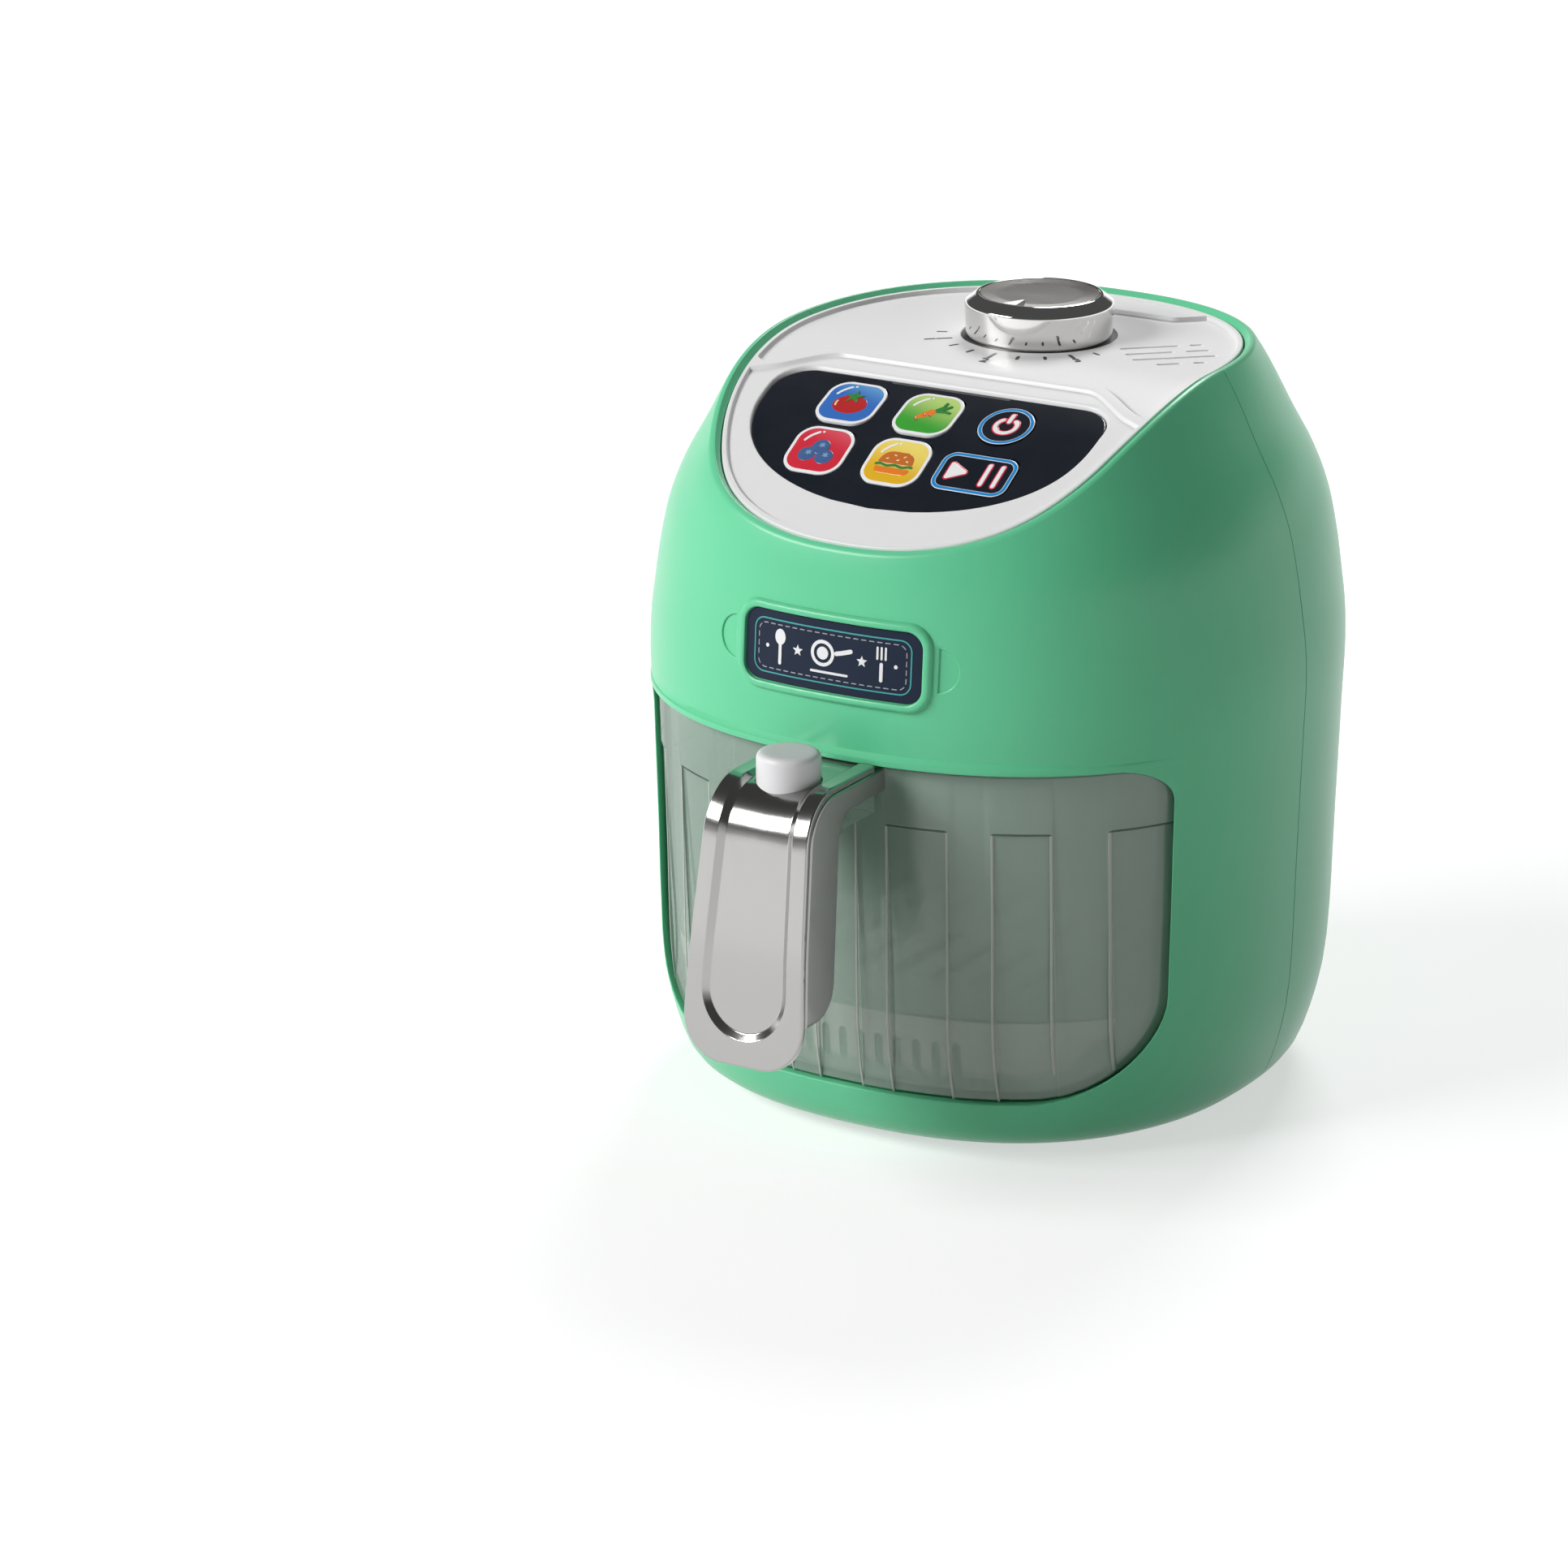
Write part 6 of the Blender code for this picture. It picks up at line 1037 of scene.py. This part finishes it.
for label, outlines, holes in (("signs", row, []), ("fork", fork, []), ("pan", pan, pan_hole), ("pan_handle", pan_handle, [])):
    outlines, holes = [each + MIDDLE for each in outlines], [each + MIDDLE for each in holes]
    label_piece(label, outlines, 0.1, 0.33, PLATE_WHITE, "white_plastic", holes)
print("nameplate ready")

# %% [markdown]
# ## Basket
#
# The basket is clear and smoky, so its wall has to be real: an outer face with sunk panels and an
# inner face behind it. Both are maps on the body's own curve, one inside the other, and the smaller
# one is cut away. Thin pale strips up the panels' sides are painted highlights, and thin dark strips
# along the panels' tops are painted shade.


# %% Basket
def basket_back(inset, flat):
    return lambda x, z: np.stack([x, np.minimum(flat, face_y(x, z, inset)), z], -1)


def basket_face(inset):
    return lambda x, z, h: on_face(x, z, h - inset)


PANELS = ((-6.1, 6.1), (14.4, 29.7), (40.2, 52.7), (63.6, 79.0), (-29.7, -14.4), (-52.7, -40.2), (-79.0, -63.6))
PANEL_TOP = 88.5
edge = window_outline(0.4)
basket_steps = [(edge, ((0.0, -0.5), (0.12, -0.25), (0.35, -0.06), (0.6, 0.0)))]
for a, b in PANELS:
    sunk = rounded([(a, 8.0), (b, 8.0), (b, PANEL_TOP), (a, PANEL_TOP)], [0, 0, 0.6, 0.6], 3)
    basket_steps.append((sunk, stepped(0.5, 0.1, 0.35)))
basket = relief("basket_shell", edge, basket_face(1.6), basket_back(4.9, 48.0), basket_steps,
                lines=lines_across(-74, 74, 16, 104, 2.4), sharp=50)
carve(basket, relief("basket_room", window_outline(2.4, 12.0), basket_face(3.6), basket_back(6.9, 46.0),
                     lines=lines_across(-74, 74, 16, 116, 2.4)))
smooth(basket, 50)
fit(basket, "basket", "smoky_clear", SMOKE, "basket")
# Pale strips up the panels' sides are painted highlights; dark strips along their tops are painted shade.
sides = [band([(x, 17.5 if abs(x) < 50 else 25.0), (x, 50.0), (x, 88.0)], 0.5, 3)
         for pair in PANELS for x in pair if abs(x) < 70]
tops = [band([(a, 88.3), ((a + b) / 2, 88.3), (b, 88.3)], 0.42, 3) for a, b in PANELS]
for name, outlines, lines, material in (("basket_edge_painted_highlight_strips", sides, lines_along(16, 90, -74, 74, 4.0), EDGE_PAINTED_HIGHLIGHT),
                                        ("basket_top_painted_shade_lines", tops, lines_across(-76, 76, 87, 90, 4.0), EDGE_PAINTED_SHADE)):
    line = relief(name, outlines, basket_face(1.6), -0.3, [(outlines, ((0.0, -0.08), (0.12, 0.0)))],
                  lines=lines, level=0.03)
    fit(line, "basket", "smoky_clear", material)
print("basket faces:", len(basket.data.polygons))

# %% [markdown]
# ## Handle
#
# The bright cover of the handle is one bent sheet: level over the arms, round the arch, then down the
# grip. It is drawn flat, as if unrolled, with its hole for the button and its sunk middle, and then
# bent along the side view.

# %% Side view of the handle
ARM_Z, GRIP_LOW, COVER_BACK = 105.0, 37.2, -87.2
ARM_HALF, WIDENING = 14.1, 3.1
WELL, WELL_RADIUS = (0.0, -104.0), 8.25
side_view = rounded([(COVER_BACK + 40, 104.9), (COVER_BACK, ARM_Z), (-118.2, ARM_Z), (-124.2, 66.0), (-127.0, GRIP_LOW),
                     (-100.0, 20.0)], [0, 0, 14.0, 150.0, 0, 0], 24)[1:-1]
bend = [side_view[0]]
for start, end in zip(side_view[:-1], side_view[1:]):
    parts = max(1, int(np.linalg.norm(end - start) / 0.8))
    bend += [start + (end - start) * k / parts for k in range(1, parts + 1)]
bend = np.array(bend)
bend_length = np.concatenate([[0.0], np.cumsum(np.linalg.norm(np.diff(bend, axis=0), axis=1))])
TOTAL = bend_length[-1]
bend_along = np.gradient(bend, bend_length, axis=0)
bend_along /= np.linalg.norm(bend_along, axis=1)[:, None]


def on_cover(u, v, h):
    """Bend the flat sheet: u across, v down from the back end as negative length."""
    s = np.clip(-v, 0, TOTAL)
    y, z, ay, az = (np.interp(s, bend_length, each) for each in (*bend.T, *bend_along.T))
    size = np.hypot(ay, az)
    return np.stack([u, y + h * az / size, z - h * ay / size], -1)


def handle_half(z):
    return ARM_HALF + WIDENING * (ARM_Z - z) / (ARM_Z - GRIP_LOW)


def both_sides(half, v, low):
    """Outline down the left side, along the low end and up the right side."""
    return np.concatenate([np.stack([-half, v], -1), low, np.stack([half, v], -1)[::-1]])


def cover_half(v):
    return handle_half(np.interp(-v, bend_length, bend[:, 1]))


def cover_outline():
    wide = ARM_HALF + WIDENING
    corners = [(-wide, -TOTAL), (wide, -TOTAL), (14.3, -TOTAL + 60), (-14.3, -TOTAL + 60)]
    low = rounded(corners, [11.2, 11.2, 0, 0], 14)[:30]
    v = np.arange(0.0, -TOTAL + 14.0, -1.5)
    return both_sides(cover_half(v), v, low)


def sunk_outline():
    v = np.arange(3.0, -TOTAL + 19.5, -1.5)
    half = cover_half(np.minimum(v, 0)) - 4.1 - 0.6 * np.clip(-v / TOTAL, 0, 1)
    turns = np.linspace(0.05, math.pi - 0.05, 26)
    return both_sides(half, v, np.stack([-half[-1] * np.cos(turns), -TOTAL + 6.6 + 12.2 * (1 - np.sin(turns))], -1))


# %% Handle cover
cover_edge = cover_outline()
well_hole = circle(WELL_RADIUS, 56, WELL)
well_hole[:, 1] = -np.interp(-well_hole[:, 1], -bend[:, 0], bend_length)
cover = relief("handle_cover", cover_edge, on_cover, -1.6,
               [(cover_edge, ((0.0, -0.45), (0.1, -0.2), (0.28, -0.05), (0.5, 0.0))),
                (sunk_outline(), ((-0.3, 0.0), (-0.12, -0.03), (0.05, -0.14), (1.4, -1.06), (1.55, -1.14),
                                  (1.85, -1.16)))],
               holes=[well_hole], lines=lines_along(-TOTAL, 0, 0, 0, 1.1), sharp=36)
fit(cover, "basket", "chrome_plate", COVER, "handle_front_plate")

# %% Grip and tongue
GRIP_END = 48.9


def block(low, high):
    (a, b, c), (d, e, f) = low, high
    return skin("cutter", [[(a, b, z), (d, b, z), (d, e, z), (a, e, z)] for z in (c, f)])


outer = offset(np.concatenate([bend, loop([(-80.0, GRIP_LOW), (-80.0, ARM_Z)])]), 1.9)[:len(bend)]
outer = outer[outer[:, 1] > GRIP_END + 0.4]
outer[0] = (-81.6, 103.1)
behind = rounded([(outer[-1][0] - 0.05, GRIP_END), (-110.6, GRIP_END), (-103.8, 97.2), (-81.6, 97.2), (-81.6, 103.1)],
                 [0, 9.0, 7.0, 0, 0], 14)
grip_edge = np.concatenate([outer[1:], behind])
grip = relief("handle_grip", grip_edge, lambda y, z, h: np.stack([handle_half(z) + h, y, z], -1),
              lambda y, z: np.stack([-handle_half(z), y, z], -1),
              [(grip_edge, ((0.0, -0.7), (0.12, -0.35), (0.4, -0.1), (0.8, 0.0)))], sharp=36)
carve(grip, block((-12.3, -100.5, 60.0), (12.3, -60.0, 120.0)))
carve(grip, turned("well", [(WELL_RADIUS, 97.0), (WELL_RADIUS, 130.0)], WELL, 56))
fit(grip, "basket", "silver_plastic", BRUSHED, "handle_body")

tongue_edge = rounded([(-106.0, 88.5), (-96.5, 91.4), (-83.0, 91.4), (-83.0, 103.1), (-103.6, 103.1), (-104.6, 92.0)],
                      [0.6, 5.0, 0.5, 0.3, 0.3, 0.5], 8)
tongue = relief("handle_tongue", tongue_edge, lambda y, z, h: np.stack([12.0 + h, y, z], -1), -24.0,
                [(tongue_edge, ((0.0, -0.5), (0.15, -0.2), (0.5, 0.0)))])
carve(tongue, block((-4.6, -120.0, 60.0), (4.6, -60.0, 100.6)))
carve(tongue, turned("well", [(WELL_RADIUS, 60.0), (WELL_RADIUS, 130.0)], WELL, 56))
fit(tongue, "basket", "smoky_clear", SMOKE, "handle_inlay")

# %% Release button
BUTTON = ((7.75, 100.5), (7.88, 100.7), (7.9, 101.0), (7.9, 109.2), (7.86, 109.7), (7.72, 110.2), (7.45, 110.62),
          (7.05, 110.92), (6.5, 111.1), (5.6, 111.17), (3.0, 111.2))
fit(turned("release_cap", BUTTON, WELL, 72), "release", "white_plastic", WHITE_KEY, "release_button")
print("handle ready")

# %% [markdown]
# ## Parts that keep their CAD shape
#
# Base, feet, screws, chamber, tray and everything inside are right as they are. They only need real
# finishes.

# %% Finishes for CAD parts
KEEP = (
    (MINT_INSIDE, "base_plate chamber_liner"), (MINT, "battery_door"), (TRAY, "crisper_tray"), (BRUSHED, "latch_bar"),
    (GREY_PAINT, "rotary_switch"), (AMBER, "light_pipe"), (JACKET, "battery_1 battery_2 battery_3"),
    (BLACK, "speaker battery_box speaker_wire button_wire"), (BOARD, "main_board button_board"),
    (RED_LEAD, "battery_wire"),
    (STEEL, "dial_shaft release_spring speaker_magnet battery_contacts_high battery_contacts_low "
            + " ".join(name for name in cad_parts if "screw" in name and name != "screen_cover")),
    (RUBBER, "button_mat " + " ".join(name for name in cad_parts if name.startswith("foot_"))),
)
for material, names in KEEP:
    for name in names.split():
        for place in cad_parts[name].material_slots:
            place.material = material
print("CAD parts finished")

# %% [markdown]
# ## Studio
#
# A white table and a white wall of light all round, as for a catalogue. A large soft lamp stands on
# the left. The ceiling is darker, which gives the plated parts their contrast. The table shows plain
# white where it is fully lit, to the camera and in metal and glass alike, and keeps the soft shadow.

# %% Table
TABLE_RADIUS = 4.0
TABLE_OWN_LIGHT, TABLE_LIT = 0.58, 0.56
work = bmesh.new()
bmesh.ops.create_circle(work, cap_ends=True, radius=TABLE_RADIUS, segments=96)
mesh = bpy.data.meshes.new("table")
work.to_mesh(mesh)
work.free()
table = add_object("table", mesh)
table.location.z = -0.0002
white_table = bpy.data.materials.new("white_table")
white_table.use_nodes = True
tree = white_table.node_tree
shader = tree.nodes["Principled BSDF"].inputs
shader["Roughness"].default_value = 0.85
shader["Specular IOR Level"].default_value = 0.1
shader["Emission Color"].default_value = (1, 1, 1, 1)
seen = node(tree, "LightPath", {})
direct = sum_of(tree, "MAXIMUM", seen["Is Camera Ray"], seen["Is Glossy Ray"])
direct = sum_of(tree, "MAXIMUM", direct, seen["Is Transmission Ray"])
# For the light that the table bounces, it is painted darker round the toy's right side: painted shade. The camera,
# metal and glass still see it plain white.
away = node(tree, "VectorMath", {0: own_place(tree), 1: (0.23, 0.08, 0.0)}, operation="DISTANCE")["Value"]
bounce_painted_shade = sum_of(tree, "MULTIPLY", sum_of(tree, "SUBTRACT", 1.0, direct), fade(tree, away, 0.12, 0.28, 0.12, 0.78))
tree.links.new(sum_of(tree, "ADD", sum_of(tree, "MULTIPLY", direct, TABLE_LIT), bounce_painted_shade), shader["Base Color"])
tree.links.new(sum_of(tree, "MULTIPLY", direct, TABLE_OWN_LIGHT), shader["Emission Strength"])
table.data.materials.append(white_table)

# %% World: a bright belt that is dimmer in front, a dark ceiling, and white below the table's edge
CEILING = 0.08
world = bpy.data.worlds.new("studio")
bpy.context.scene.world = world
world.use_nodes = True
tree = world.node_tree
tree.nodes.clear()
way = node(tree, "SeparateXYZ", {"Vector": node(tree, "TexCoord", {})["Generated"]})
upright, frontal = fade(tree, way["Z"], 0.03, 0.24, 1.0, 0.0), fade(tree, way["Y"], -0.85, -0.25, 0.45, 1.30)
belt = sum_of(tree, "MULTIPLY", upright, frontal)
below = sum_of(tree, "LESS_THAN", way["Z"], 0.0)
walls = sum_of(tree, "MAXIMUM", sum_of(tree, "ADD", belt, CEILING), below)
node(tree, "OutputWorld", {"Surface": node(tree, "Background", {"Color": walls, "Strength": 1.0})["Background"]})


# %% Lamps
def soft_lamp(name, turn, rise, distance, width, height, power):
    """Area lamp aimed at the toy. turn is measured from the front towards the right."""
    lamp = bpy.data.lights.new(name, "AREA")
    lamp.shape, lamp.size, lamp.size_y, lamp.energy = "RECTANGLE", width, height, power
    item = add_object(name, lamp)
    t, r = math.radians(turn), math.radians(rise)
    way = Vector((math.sin(t) * math.cos(r), -math.cos(t) * math.cos(r), math.sin(r)))
    item.location = way * distance + Vector((0, 0, 0.1))
    item.rotation_euler = way.to_track_quat("Z", "Y").to_euler()
    return item


soft_lamp("left_lamp", -40, 30, 2.2, 1.3, 0.8, 46)
soft_lamp("back_lamp", -166, 45, 2.2, 0.8, 0.8, 27)
soft_lamp("right_lamp", 105, -2.5, 0.6, 0.5, 0.10, 0.2).visible_glossy = False
print("studio ready")
